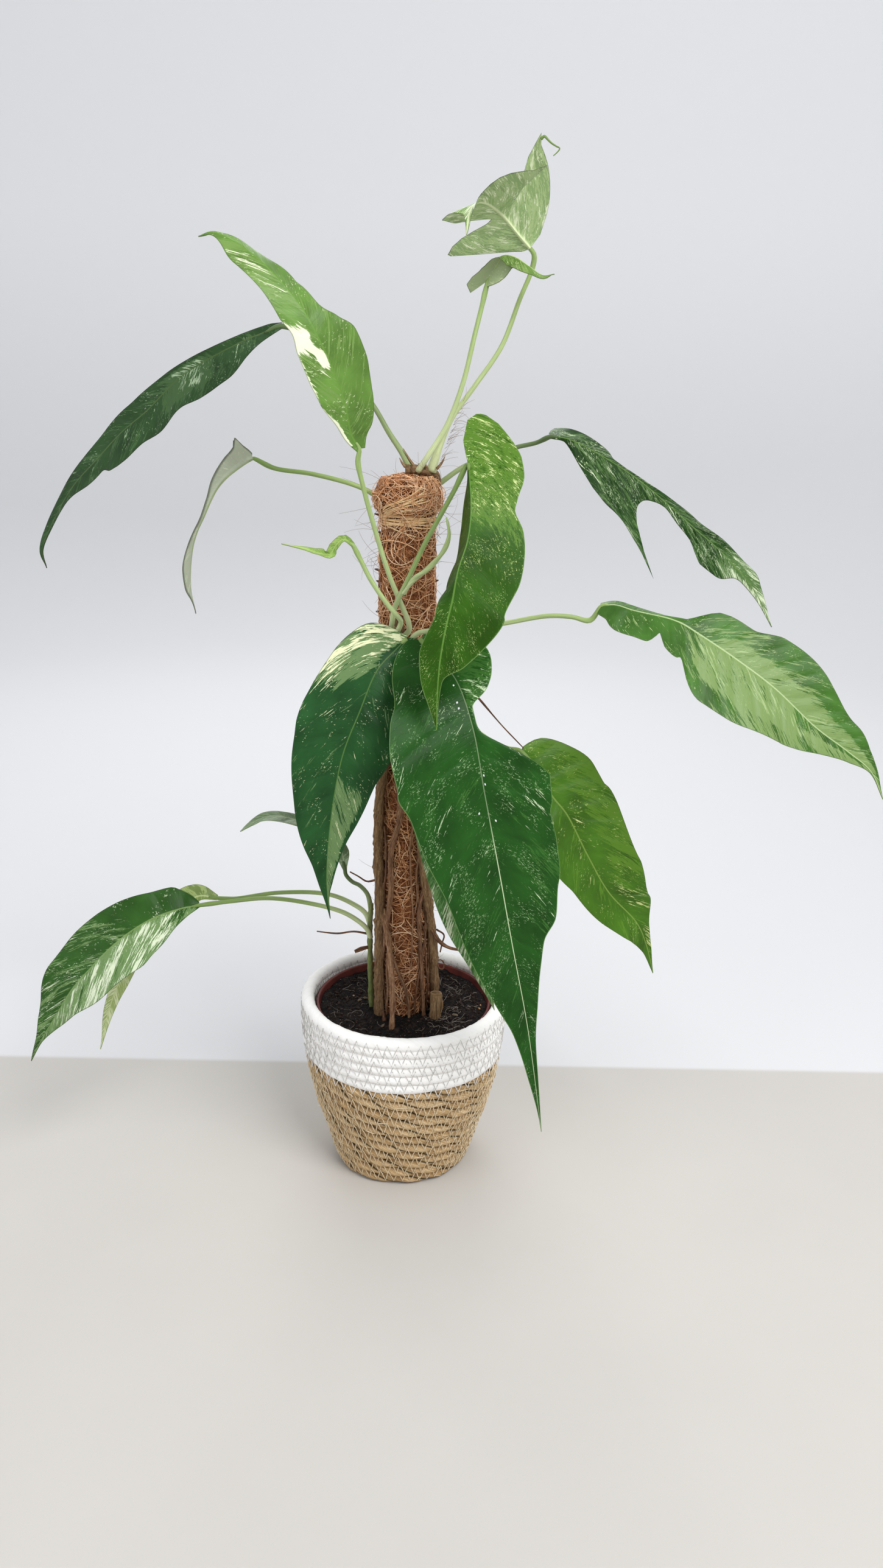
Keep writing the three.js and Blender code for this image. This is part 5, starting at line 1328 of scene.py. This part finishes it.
# Young folded leaf
# The next leaf down is still small and soft. It is folded along its midrib, with a rounded base to the left
# and a thin tip to the right, bright green above and pale beneath.
grow_leaf(
    "leaf_top_young", "pale_leaf", PALE_STALK, seed=5, wave=0.2, vein_depth=0.1, rib=0.3,
    skin=dict(deep=(92, 122, 56), mid=(122, 148, 82), pale=(212, 222, 166), pale_share=0.14, size=0.5,
              rib_tone=(190, 206, 140), under_tone=(188, 200, 160), under_share=0.6, margin_tone_and_shade=(84, 96, 56)),
    stalk=[(7, -6, 586), (15, -9, 598), (28, -7, 619), (39, -4, 648), (47, -2, 682), (52, 1, 703), (54, 3, 712)],
    midrib=[(56, 4, 719), (60, 0, 726), (65, -5, 734), (73, -9, 733), (83, -12, 727), (93, -12, 721),
            (101, -10, 722)],
    face=[(0, 0, 1, 0.1), (0.2, -0.2, 0.8, 0.5), (0.4, 0, 0.2, 1), (1, 0, 0, 1)],
    fold=[(0, -80, 5), (0.2, -60, -20), (0.4, -30, -60), (0.8, -10, -40), (1, 0, 0)],
    sweep=[(0, 158), (0.06, 130), (0.12, 112), (0.25, 85), (0.6, 58), (1, 25)],
    left=[(0, 6), (0.2, 12), (0.4, 10), (0.7, 6)],
    right=[(0, 17), (0.04, 18), (0.08, 13), (0.12, 10), (0.3, 9), (0.5, 10), (0.75, 7)],
)

# Upper left leaf
# A bright green leaf that points up and to the left on a thin stalk from the front of the pole. A crisp cream
# patch fills part of its outer half, with cream streaks above it and a thin cream edge below.
grow_leaf(
    "leaf_upper_left", "leaf", PALE_STALK, seed=7, vein_depth=0.35,
    skin=dict(deep=(94, 130, 57), mid=(116, 148, 77), pale=(238, 240, 208), mid_share=0.34, pale_share=0.02,
              fleck_share=0.08, size=0.8, rib_tone=(104, 144, 60), slant=1.0, margin_tone_and_shade=(78, 100, 48)),
    stalk=[(-2, -27, 466), (3, -34, 474), (-3, -40, 493), (-11, -45, 513), (-21, -53, 546), (-29, -59, 576),
           (-33, -61, 595)],
    midrib=[(-32, -62, 604), (-37, -65, 613), (-41, -70, 633), (-48, -74, 653), (-57, -77, 673), (-70, -78, 695),
            (-94, -74, 720), (-115, -66, 734), (-128, -60, 739), (-138, -55, 737)],
    face=[(0, 0.15, -1, 0.3), (1, 0.1, -1, 0.35)],
    fold=[(0, 5, 5), (0.4, 5, 0), (0.55, 5, -50), (0.9, 5, -40), (1, 0, 0)],
    left=[(0, 3), (0.09, 8), (0.167, 17), (0.253, 20), (0.336, 20), (0.413, 17), (0.466, 20), (0.6, 18), (0.715, 18),
          (0.878, 7)],
    right=[(0, 4), (0.014, 6), (0.085, 16), (0.164, 21), (0.245, 27), (0.317, 28), (0.388, 21), (0.466, 15),
           (0.564, 19), (0.683, 13), (0.838, 7), (0.94, 2)],
    sectors=[(-1, 0.35, 0.44, 0.3, 1, 0.8), (-1, 0.3, 0.36, 0.02, 0.36, 0.8), (-1, 0.03, 0.13, 0.7, 1, 0.7),
             (-1, 0.12, 0.36, 0.96, 1, 0.6), (-1, 0.5, 0.86, 0.15, 0.95, 0.15)],
    mists=[(-1, 0.5, 0.95, 0, 1, 0.1)],
)

# Far left leaf
# A long, narrow leaf that leans far out to the left on a stalk from the top of the plant. It is very dark
# green, faintly streaked, with a small pale patch near its middle and a few pin holes by the midrib.
grow_leaf(
    "leaf_far_left", "leaf", DARK_STALK, seed=9,
    skin=dict(deep=(42, 68, 36), mid=(64, 92, 54), pale=(158, 178, 144), mid_share=0.3, fleck_share=0.05,
              rib_tone=(74, 96, 54), margin_tone_and_shade=(44, 42, 36)),
    stalk=[(3, -2, 586), (-5, 3, 599), (-15, 8, 613), (-27, 12, 632), (-51, 16, 660), (-73, 18, 678)],
    stalk_radii=((0, 3.4), (0.1, 2.3), (0.3, 1.9), (1, 1.7)),
    midrib=[(-94, 15, 686), (-121, 8, 675), (-164, -5, 650), (-190, -12, 625), (-208, -16, 610), (-226, -20, 591),
            (-244, -22, 572), (-261, -24, 545), (-270, -24, 525), (-268, -24, 513)],
    face=[(0, -0.2, -0.8, 0.6), (0.5, -0.35, -0.8, 0.5), (1, -0.5, -0.8, 0.3)],
    left=[(0, 2), (0.04, 5), (0.096, 12), (0.127, 17), (0.178, 28), (0.255, 32), (0.343, 27), (0.4, 30), (0.462, 26),
          (0.513, 30), (0.578, 25), (0.618, 16), (0.663, 15), (0.79, 5), (0.93, 2)],
    right=[(0, 3), (0.039, 6), (0.154, 7), (0.254, 10), (0.328, 13), (0.409, 17), (0.527, 15), (0.655, 12),
           (0.776, 9), (0.945, 4)],
    sectors=[(0, 0.24, 0.34, 0, 0.55, 0.34), (-1, 0.05, 0.2, 0, 1, 0.06)],
    mists=[(0, 0.22, 0.38, 0, 0.7, 0.35)],
    holes=[(0.39, 3.8), (0.407, 3.9), (0.439, 3.8), (0.455, 1.6), (0.447, -2.6), (0.301, 2.7)],
)

# Twisted left leaf
# A slender leaf on the left that has rolled up lengthwise as it dried a little. It hangs edge-on, so that a
# pale strip of its underside shows beside the dark line of its upper face.
grow_leaf(
    "leaf_left_twisted", "pale_leaf", GREEN_STALK, seed=11, wave=0.2, vein_depth=0.1,
    # A wide margin band of painted shade stands for the dark line of its upper face.
    skin=dict(deep=(70, 94, 52), mid=(100, 122, 76), pale=(206, 212, 178), pale_share=0.2, size=0.5,
              rib_tone=(150, 164, 120), under_tone=(188, 192, 174), under_share=0.7, margin_tone_and_shade=(48, 54, 38),
              edge_width=2.4),
    stalk=[(8, 27, 543), (-8, 27, 552), (-21, 18, 563), (-37, 10, 573), (-72, 8, 582), (-101, 6, 586)],
    midrib=[(-117, 4, 593), (-122, 2, 590), (-129, 0, 585), (-136, -4, 579), (-142, -6, 572), (-147, -8, 563),
            (-152.5, -9, 551), (-158.5, -8, 539), (-163, -6, 525), (-166, -3, 497), (-163, -2, 477)],
    face=[(0, -0.6, -0.1, 0.8), (0.3, -0.9, -0.05, 0.4), (0.6, -1, -0.1, 0.2), (1, -1, -0.1, 0.1)],
    fold=[(0, 62, 62), (0.3, 66, 66), (0.6, 56, 56), (0.88, 20, 20), (1, 0, 0)],
    left=[(0, 4), (0.036, 13), (0.05, 21), (0.064, 15.5), (0.12, 12.3), (0.22, 7.5), (0.33, 3.5), (0.46, 2.5),
          (0.58, 5), (0.7, 10), (0.8, 9), (0.9, 4)],
    right=[(0, 4), (0.036, 12.5), (0.05, 20), (0.064, 15), (0.12, 12.3), (0.22, 7.5), (0.33, 3.5), (0.46, 2.5),
           (0.58, 5), (0.7, 9), (0.8, 8), (0.9, 3.5)],
)

# Curled young leaf
# The smallest leaf has only begun to open. It curls over at the end of a pale stalk, left of the pole, and
# runs out to a thread-like tip.
grow_leaf(
    "leaf_curled_bud", "pale_leaf", PALE_STALK, seed=13, wave=0.1, vein_depth=0.05,
    skin=dict(deep=(128, 162, 78), mid=(156, 184, 104), pale=(214, 222, 168), mid_share=0.45, pale_share=0.1,
              size=0.4, rib_tone=(176, 196, 120)),
    stalk=[(-8, -27, 463), (-6, -39, 472), (-3, -45, 481), (-7, -52, 488), (-14, -54, 497), (-25, -53, 513),
           (-33, -51, 528)],
    midrib=[(-38, -51, 537), (-44, -52, 541), (-50, -52, 536), (-54, -53, 530), (-62, -54, 531), (-72, -54, 534),
            (-88, -54, 537)],
    face=[(0, 0.2, -0.8, 0.6), (1, 0, -0.6, 0.8)],
    fold=[(0, 30, 30), (0.5, 35, 35), (0.8, 0, 0), (1, 0, 0)],
    left=[(0, 2), (0.2, 4), (0.4, 5), (0.6, 3), (0.85, 1.2)],
    right=[(0, 2), (0.2, 4), (0.4, 5), (0.6, 3), (0.85, 1.2)],
)

# Folded front leaf
# A glossy leaf that rises in front of the pole, arches over and hangs down, folded along its midrib so that
# only its left half shows, with two shallow creases across it. Cream speckles gather in its upper third.
grow_leaf(
    "leaf_front_folded", "leaf", GREEN_STALK, seed=15, wave=0.5, vein_depth=0.25, rib=0.2,
    skin=dict(deep=(46, 82, 20), mid=(86, 122, 44), pale=(212, 224, 154), mid_share=0.12, shine=0.06,
              fleck_share=0.09, fleck_size=0.6, size=0.17, rib_tone=(100, 138, 62), slant=0.7,
              margin_tone_and_shade=(116, 146, 84)),
    stalk=[(-11, -25, 470), (-10, -36, 478), (-8, -43, 490), (2, -53, 513), (15, -65, 542), (24, -72, 559),
           (34, -77, 578)],
    midrib=[(43, -80, 596), (44, -88, 587), (45, -98, 574), (45, -105, 563), (43, -112, 548), (37, -120, 529),
            (34, -126, 511), (31, -129, 498), (28, -132, 482), (26, -134, 466), (25, -135, 445), (25, -135, 424)],
    face=[(0, 0.25, -0.9, 0.4), (0.5, 0.2, -1, 0.2), (1, 0, -1, 0.1)],
    fold=[(0, 0, -90), (0.42, 0, -90), (0.6, 0, -20), (1, 0, 0)],
    sweep=[(0, 120), (0.15, 95), (0.3, 72), (0.6, 58), (1, 25)],
    sweep_left=[(0, 188), (0.02, 158), (0.06, 125), (0.15, 95), (0.3, 72), (0.6, 58), (1, 25)],
    left=[(0, 20), (0.0045, 39), (0.009, 47), (0.014, 50), (0.035, 47), (0.062, 44), (0.098, 41), (0.143, 33),
          (0.17, 31), (0.213, 38), (0.257, 42), (0.323, 46), (0.415, 45), (0.551, 36), (0.673, 23), (0.814, 4),
          (0.904, 2)],
    right=[(0, 2), (0.062, 6), (0.143, 18), (0.257, 28), (0.4, 26), (0.5, 16), (0.573, 11), (0.623, 15), (0.671, 19),
           (0.757, 17), (0.87, 10), (0.968, 3)],
    sectors=[(-1, 0, 0.2, 0.1, 1, 0.15)],
    # Its middle green over the upper third is partly its own marbling and partly painted light on the top of its
    # arch.
    mists=[(-1, 0, 0.24, 0, 1, 0.36)],
)
rolled_shoot = Bundle()
shoot_course = [(-1, -54, 503), (6, -61, 514), (18, -71, 525), (28, -76, 538), (31, -77, 548), (29, -75, 560)]
shoot_girth = np.interp(np.linspace(0, 1, 60), (0, 0.3, 0.7, 0.92, 1), (1.6, 2.1, 1.9, 1.2, 0.5))
rolled_shoot.lay(smooth_path(shoot_course, 60), shoot_girth, 12, np.linspace(0.2, 0.8, 60), 2, 0.3, 0.16)
rolled_shoot.piece("rolled_leaf_shoot", PALE_STALK, "leaf", "leaf_front_folded")

# Upper right leaf
# A deeply notched leaf on the right, on a stalk from behind the top of the pole. One long thin lobe hangs
# from its lower edge. It is dark and cool green, marbled with grey-green, and its tip has gone pale.
grow_leaf(
    "leaf_upper_right", "leaf", DARK_STALK, seed=17, bend=0.15,
    skin=dict(deep=(28, 57, 18), mid=(80, 110, 60), pale=(200, 212, 178), pale_share=0.12, shine=0.05,
              fleck_share=0.16, size=0.36, rib_tone=(96, 124, 66), margin_tone_and_shade=(46, 52, 36), slant=0.8),
    stalk=[(19, 17, 573), (27, 17, 579), (36, 19, 585.5), (44, 22, 590), (80, 28, 603), (96, 26, 607)],
    midrib=[(107, 20, 612), (118, 18, 611), (141, 14, 601), (173, 6, 582), (211, -2, 552), (239, -8, 529),
            (264, -12, 502), (278, -14, 477)],
    face=[(0, -0.1, -0.8, 0.6), (0.5, 0, -0.85, 0.55), (1, 0.2, -0.9, 0.4)],
    fold=[(0, -40, 0), (0.5, -35, -5), (1, -10, 0)],
    sweep=[(0, 112), (0.05, 88), (0.12, 52), (0.4, 44), (0.85, 42), (1, 25)],
    left=[(0, 8), (0.02, 22), (0.08, 23), (0.118, 22), (0.2, 9), (0.263, 5), (0.334, 6), (0.4, 14), (0.474, 22),
          (0.6, 19), (0.744, 20), (0.854, 9), (0.925, 5)],
    right=[(0, 2), (0.043, 3), (0.07, 8), (0.1, 22), (0.124, 42), (0.2, 52), (0.225, 62), (0.246, 72), (0.256, 91),
           (0.264, 64), (0.274, 42), (0.308, 22), (0.369, 10), (0.44, 5), (0.488, 10), (0.541, 14), (0.571, 28),
           (0.637, 27), (0.786, 7), (0.895, 4)],
    sectors=[(0, 0.66, 0.84, 0.45, 1, 0.2), (0, 0.84, 1, 0, 1, 0.32)],
    mists=[(0, 0.7, 1, 0, 1, 0.3)],
)

# Far right leaf
# A broad leaf held far out to the right on a long level stalk. Its base is folded and scalloped. Large pale
# sectors run along both sides of the midrib, with deeper green at the margins.
grow_leaf(
    "leaf_far_right", "pale_leaf", PALE_STALK, seed=19,
    skin=dict(deep=(62, 102, 38), mid=(122, 147, 88), pale=(156, 178, 122), mid_share=0.22, pale_share=0.04,
              fleck_share=0.08, size=0.8, rib_tone=(176, 196, 142), margin_tone_and_shade=(84, 104, 60), slant=0.7),
    stalk=[(-5, -27, 452), (2, -38, 463), (9, -43, 472), (18, -47, 475), (45, -54, 478), (72, -60, 484),
           (103, -66, 491), (120, -68, 491), (133, -69, 489)],
    midrib=[(141, -70, 500), (150, -72, 501), (162, -75, 498), (192, -82, 492), (209, -86, 483), (235, -92, 467),
            (261, -98, 449), (292, -104, 422), (315, -106, 406), (334, -106, 391), (345, -106, 371)],
    face=[(0, 0, -0.75, 0.65), (0.5, 0.05, -0.8, 0.6), (1, 0.2, -0.9, 0.4)],
    fold=[(0, -45, 5), (0.17, -45, 5), (0.25, 5, 5), (1, 5, 5)],
    left=[(0, 4), (0.01, 10), (0.083, 10), (0.15, 9), (0.19, 5), (0.225, 6), (0.244, 15), (0.263, 25), (0.306, 28),
          (0.352, 29), (0.404, 41), (0.478, 44), (0.576, 39), (0.719, 29), (0.906, 7)],
    right=[(0, 8), (0.022, 12), (0.069, 21), (0.103, 22), (0.131, 24), (0.154, 18), (0.163, 15), (0.171, 26),
           (0.196, 32), (0.22, 29), (0.243, 42), (0.289, 53), (0.357, 53), (0.438, 49), (0.617, 31), (0.706, 19),
           (0.813, 9), (0.925, 2)],
    sectors=[(0, 0.3, 1, 0, 0.6, 0.12)],
    mists=[(1, 0.27, 0.62, 0, 0.68, 0.38), (1, 0.4, 1, 0.4, 1, 0.28), (-1, 0.34, 0.62, 0, 0.36, 0.36),
           (-1, 0.55, 1, 0, 0.6, 0.34)],
)

# Front left leaf
# A large leaf that hangs in front of the pole on the left. It is deep green, with a cream sector at its top
# left and a pale grey-green streak beside the midrib towards the tip.
grow_leaf(
    "leaf_front_left", "leaf", PALE_STALK, seed=21, vein_gap=20.0, vein_depth=0.8,
    skin=dict(deep=(36, 76, 38), mid=(104, 132, 84), pale=(228, 230, 186), mid_share=0.05, fleck_share=0.03, size=0.7,
              rib_tone=(88, 122, 62), rib_width=0.7, margin_tone_and_shade=(52, 68, 42), slant=0.9, shine=0.1),
    stalk=[(-10, -25, 428), (-14, -40, 440), (-9, -50, 456), (-2, -52, 465)],
    midrib=[(1, -50, 469), (-6, -58, 463), (-19, -70, 450), (-31, -84, 422), (-42, -92, 394), (-48, -96, 366),
            (-53, -97, 328), (-55, -96, 294), (-53, -94, 264)],
    face=[(0, -0.3, -0.85, 0.5), (0.3, -0.25, -1, 0.3), (1, -0.1, -1, 0.1)],
    fold=[(0, -25, 5), (0.3, -20, 4), (0.6, -5, 4), (1, 10, 10)],
    sweep=[(0, 160), (0.05, 122), (0.12, 95), (0.25, 70), (0.5, 58), (0.85, 42), (1, 25)],
    left=[(0, 4), (0.03, 20), (0.1, 30), (0.2, 38), (0.327, 39), (0.43, 34), (0.558, 27), (0.696, 16), (0.831, 8),
          (0.947, 1)],
    right=[(0, 4), (0.025, 12), (0.054, 25), (0.085, 32), (0.116, 34), (0.159, 37), (0.21, 43), (0.257, 48),
           (0.358, 43), (0.462, 39), (0.572, 34), (0.681, 25), (0.787, 14), (0.893, 6)],
    sectors=[(1, 0.0, 0.19, 0.14, 1, 0.3), (1, 0.16, 0.24, 0.6, 1, 0.14)],
    mists=[(-1, 0.5, 0.97, 0, 0.85, 0.5), (1, 0.0, 0.21, 0.1, 1, 0.34)],
)

# Front large leaf
# The largest leaf hangs down the front of the plant to below the basket's rim and ends in a long drip tip. It
# is deep green with fine pale flecks along its veins. A slit cuts off a lobe near the top of one side.
grow_leaf(
    "leaf_front_large", "leaf", GREEN_STALK, seed=23, vein_gap=27.0, vein_depth=0.8,
    skin=dict(deep=(34, 76, 26), mid=(58, 102, 42), pale=(196, 216, 174), mid_share=0.14, fleck_share=0.12,
              fleck_size=0.8, rib_tone=(206, 222, 178), rib_width=0.6, rib_start=130.0, shine=0.09,
              margin_tone_and_shade=(112, 142, 84), slant=0.6),
    stalk=[(14, -22, 402), (18, -36, 430), (19, -46, 455), (15, -56, 468)],
    midrib=[(12, -62, 471), (26, -80, 460), (38, -94, 449), (50, -112, 420), (59, -124, 377), (71, -131, 320),
            (82, -134, 265), (96, -136, 197), (110, -134, 108)],
    face=[(0, 0, -0.7, 0.7), (0.3, 0.1, -1, 0.3), (1, 0.1, -1, 0.05)],
    fold=[(0, 8, 8), (0.5, 4, 4), (1, 10, 10)],
    left=[(0, 6), (0.05, 28), (0.097, 31), (0.12, 26), (0.142, 18), (0.17, 4), (0.2, 3.5), (0.215, 6), (0.225, 16),
          (0.241, 43), (0.251, 53), (0.288, 53), (0.318, 50), (0.362, 52), (0.408, 52), (0.45, 48), (0.501, 44),
          (0.563, 30), (0.605, 25), (0.707, 14), (0.806, 6), (0.93, 3)],
    right=[(0, 10), (0.012, 17), (0.063, 39), (0.138, 61), (0.173, 68), (0.217, 71), (0.273, 63), (0.34, 59),
           (0.43, 50), (0.548, 42), (0.669, 28), (0.759, 16), (0.868, 8), (0.979, 1)],
    sectors=[(-1, 0, 0.17, 0.1, 1, 0.14), (-1, 0.26, 0.5, 0.55, 1, 0.09)],
    mists=[(-1, 0, 0.18, 0.1, 1, 0.3), (-1, 0.26, 0.55, 0.5, 1, 0.1)],
    holes=[(0.12, 4.2), (0.152, 6.8), (0.162, 7.1), (0.288, -2), (0.304, -2), (0.346, 8.2), (0.366, -4)],
)

# Leaf behind the large one
# A narrower leaf hangs behind the large front leaf, and only a sliver of it shows along that leaf's edge. It
# is strongly marbled with white.
grow_leaf(
    "leaf_behind_large", "pale_leaf", GREEN_STALK, seed=25,
    skin=dict(deep=(72, 118, 60), mid=(120, 160, 100), pale=(220, 228, 196), mid_share=0.5, pale_share=0.28, size=0.8,
              rib_tone=(176, 196, 140)),
    stalk=[(15, -20, 388), (16, -36, 402)],
    midrib=[(19, -48, 401), (25, -60, 380), (33, -80, 336), (48, -100, 273), (60, -109, 237), (72, -114, 200)],
    face=[(0, 0, -0.8, 0.6), (0.5, 0.1, -1, 0.3), (1, 0.1, -1, 0.1)],
    left=[(0, 4), (0.1, 18), (0.3, 26), (0.55, 22), (0.8, 10)],
    right=[(0, 4), (0.1, 18), (0.3, 27), (0.55, 24), (0.8, 12)],
)

# Lower right leaf
# A warm green leaf on the right, half hidden by the large one, that arches over and hangs. It has a golden
# cast, with cream streaks towards its tip.
grow_leaf(
    "leaf_lower_right", "leaf", GREEN_STALK, seed=27,
    skin=dict(deep=(66, 106, 28), mid=(90, 130, 40), pale=(212, 220, 148), mid_share=0.2, fleck_share=0.05,
              rib_tone=(124, 152, 70), margin_tone_and_shade=(76, 92, 40), slant=0.7),
    stalk=[(17, -19, 370), (28, -26, 396), (42, -27, 400), (55, -25, 393), (69, -24, 384), (80, -26, 380)],
    midrib=[(90, -30, 379), (116, -36, 344), (127, -38, 331), (145, -42, 298), (163, -44, 268), (187, -44, 242),
            (196, -42, 223), (204, -40, 196)],
    face=[(0, 0.1, -0.8, 0.6), (0.5, 0.1, -0.95, 0.3), (1, 0.3, -0.95, 0.1)],
    left=[(0, 4), (0.032, 21), (0.078, 33), (0.145, 43), (0.232, 43), (0.316, 43), (0.446, 43), (0.624, 32),
          (0.777, 11), (0.931, 3)],
    right=[(0, 4), (0.05, 20), (0.15, 34), (0.27, 38), (0.386, 34), (0.477, 29), (0.589, 26), (0.685, 24), (0.871, 8),
           (0.961, 3)],
    sectors=[(-1, 0.5, 0.95, 0.3, 1, 0.16)],
    mists=[(-1, 0, 0.5, 0.4, 1, 0.3)],
)

dry_root = Bundle()
dry_path = [(24, -9, 448), (40, -14, 434), (55.5, -20, 419), (74, -25, 399), (92, -30, 381.5)]
lay_stem(dry_root, dry_path, [(0, 0.6), (0.35, 0.7), (0.5, 1.0), (0.62, 0.6), (1, 0.45)], 0.0, sides=8)
dry_root.piece("lower_right_dry_root", root_bark, "vine")

# Lower left leaf
# The lowest big leaf, held out to the left over the table on a long stalk from the green shoot. Whitish
# streaks follow its veins all over.
grow_leaf(
    "leaf_lower_left", "leaf", GREEN_STALK, seed=29,
    skin=dict(deep=(44, 82, 28), mid=(108, 138, 84), pale=(212, 222, 192), mid_share=0.38, pale_share=0.12,
              fleck_share=0.1, size=0.72, rib_tone=(120, 148, 86), margin_tone_and_shade=(54, 68, 38), slant=0.8),
    stalk=[(-28, -7, 207), (-31, -11, 217), (-39, -12, 225), (-52, -13, 233), (-82, -14, 241), (-112, -16, 245),
           (-141, -19, 243)],
    midrib=[(-168, -22, 240), (-180, -26, 239), (-201, -34, 234), (-219, -42, 225), (-235, -50, 213),
            (-249, -56, 199), (-264, -60, 182), (-277, -62, 161), (-291, -62, 138), (-302, -62, 117)],
    face=[(0, -0.1, -0.75, 0.65), (0.5, -0.25, -0.8, 0.5), (1, -0.5, -0.8, 0.3)],
    left=[(0, 2), (0.106, 14), (0.175, 28), (0.248, 36), (0.356, 34), (0.475, 31), (0.629, 21), (0.794, 8),
          (0.943, 1)],
    right=[(0, 3), (0.049, 13), (0.086, 20), (0.137, 21), (0.214, 28), (0.286, 32), (0.382, 35), (0.497, 35),
           (0.681, 25), (0.853, 10), (0.938, 6)],
    sectors=[(-1, 0.08, 0.8, 0.05, 1, 0.2), (1, 0, 0.3, 0, 1, -0.4)],
    mists=[(-1, 0.1, 0.9, 0, 1, 0.22), (1, 0, 0.22, 0, 1, -0.3)],
)

# Back lower left leaf
# A yellow-green leaf behind the lowest big one, mostly hidden by it, on a stalk of its own from the green shoot.
# Its base and its thin tip show.
grow_leaf(
    "leaf_lower_left_back", "pale_leaf", GREEN_STALK, seed=31,
    skin=dict(deep=(128, 150, 84), mid=(156, 174, 108), pale=(208, 216, 172), pale_share=0.1,
              rib_tone=(196, 208, 150), size=1.0),
    stalk=[(-28, -7, 217), (-33, 2, 225), (-42, 7, 230), (-64, 10, 238), (-106, 12, 238), (-147, 13, 231)],
    midrib=[(-160, 12, 232), (-174, 11, 234), (-191, 9, 224), (-210, 6, 208), (-229, 3, 187), (-243, 0, 159),
            (-253, -2, 134), (-263, -5, 95)],
    face=[(0, -0.1, -0.7, 0.7), (0.5, -0.25, -0.8, 0.5), (1, -0.5, -0.8, 0.3)],
    fold=[(0, -10, 5), (0.2, -50, 5), (0.6, -40, 5), (1, 0, 5)],
    left=[(0, 2), (0.05, 3), (0.2, 9), (0.4, 12), (0.6, 10), (0.8, 6), (0.93, 3)],
    right=[(0, 3), (0.036, 6), (0.085, 11), (0.126, 13), (0.3, 15), (0.5, 14), (0.749, 8), (0.931, 3)],
    sectors=[(0, 0.6, 1, 0, 1, 0.3)],
    mists=[(0, 0.5, 1, 0, 1, 0.4)],
)

# Small back leaf
# A small grey-green leaf that stands up behind the front left one, on a short stalk from the green shoot. A knob
# marks where the blade begins.
grow_leaf(
    "leaf_small_back", "pale_leaf", DARK_STALK, seed=33, wave=0.3,
    skin=dict(deep=(112, 136, 98), mid=(144, 162, 126), pale=(200, 206, 180), pale_share=0.1,
              rib_tone=(160, 176, 136)),
    stalk=[(-27.5, -7, 232), (-31, 0, 243), (-38, 7, 248), (-45, 11, 250), (-50, 13, 255)],
    midrib=[(-51, 14, 260), (-54, 16, 274), (-67, 16, 289), (-89, 14, 302), (-114, 10, 307), (-136, 6, 295)],
    face=[(0, -0.3, -0.2, 0.95), (1, 0, -0.25, 0.95)],
    left=[(0, 2), (0.2, 10), (0.35, 13), (0.5, 12), (0.655, 13), (0.895, 4)],
    right=[(0, 2), (0.2, 9), (0.35, 11), (0.55, 9), (0.8, 8), (0.9, 6)],
)
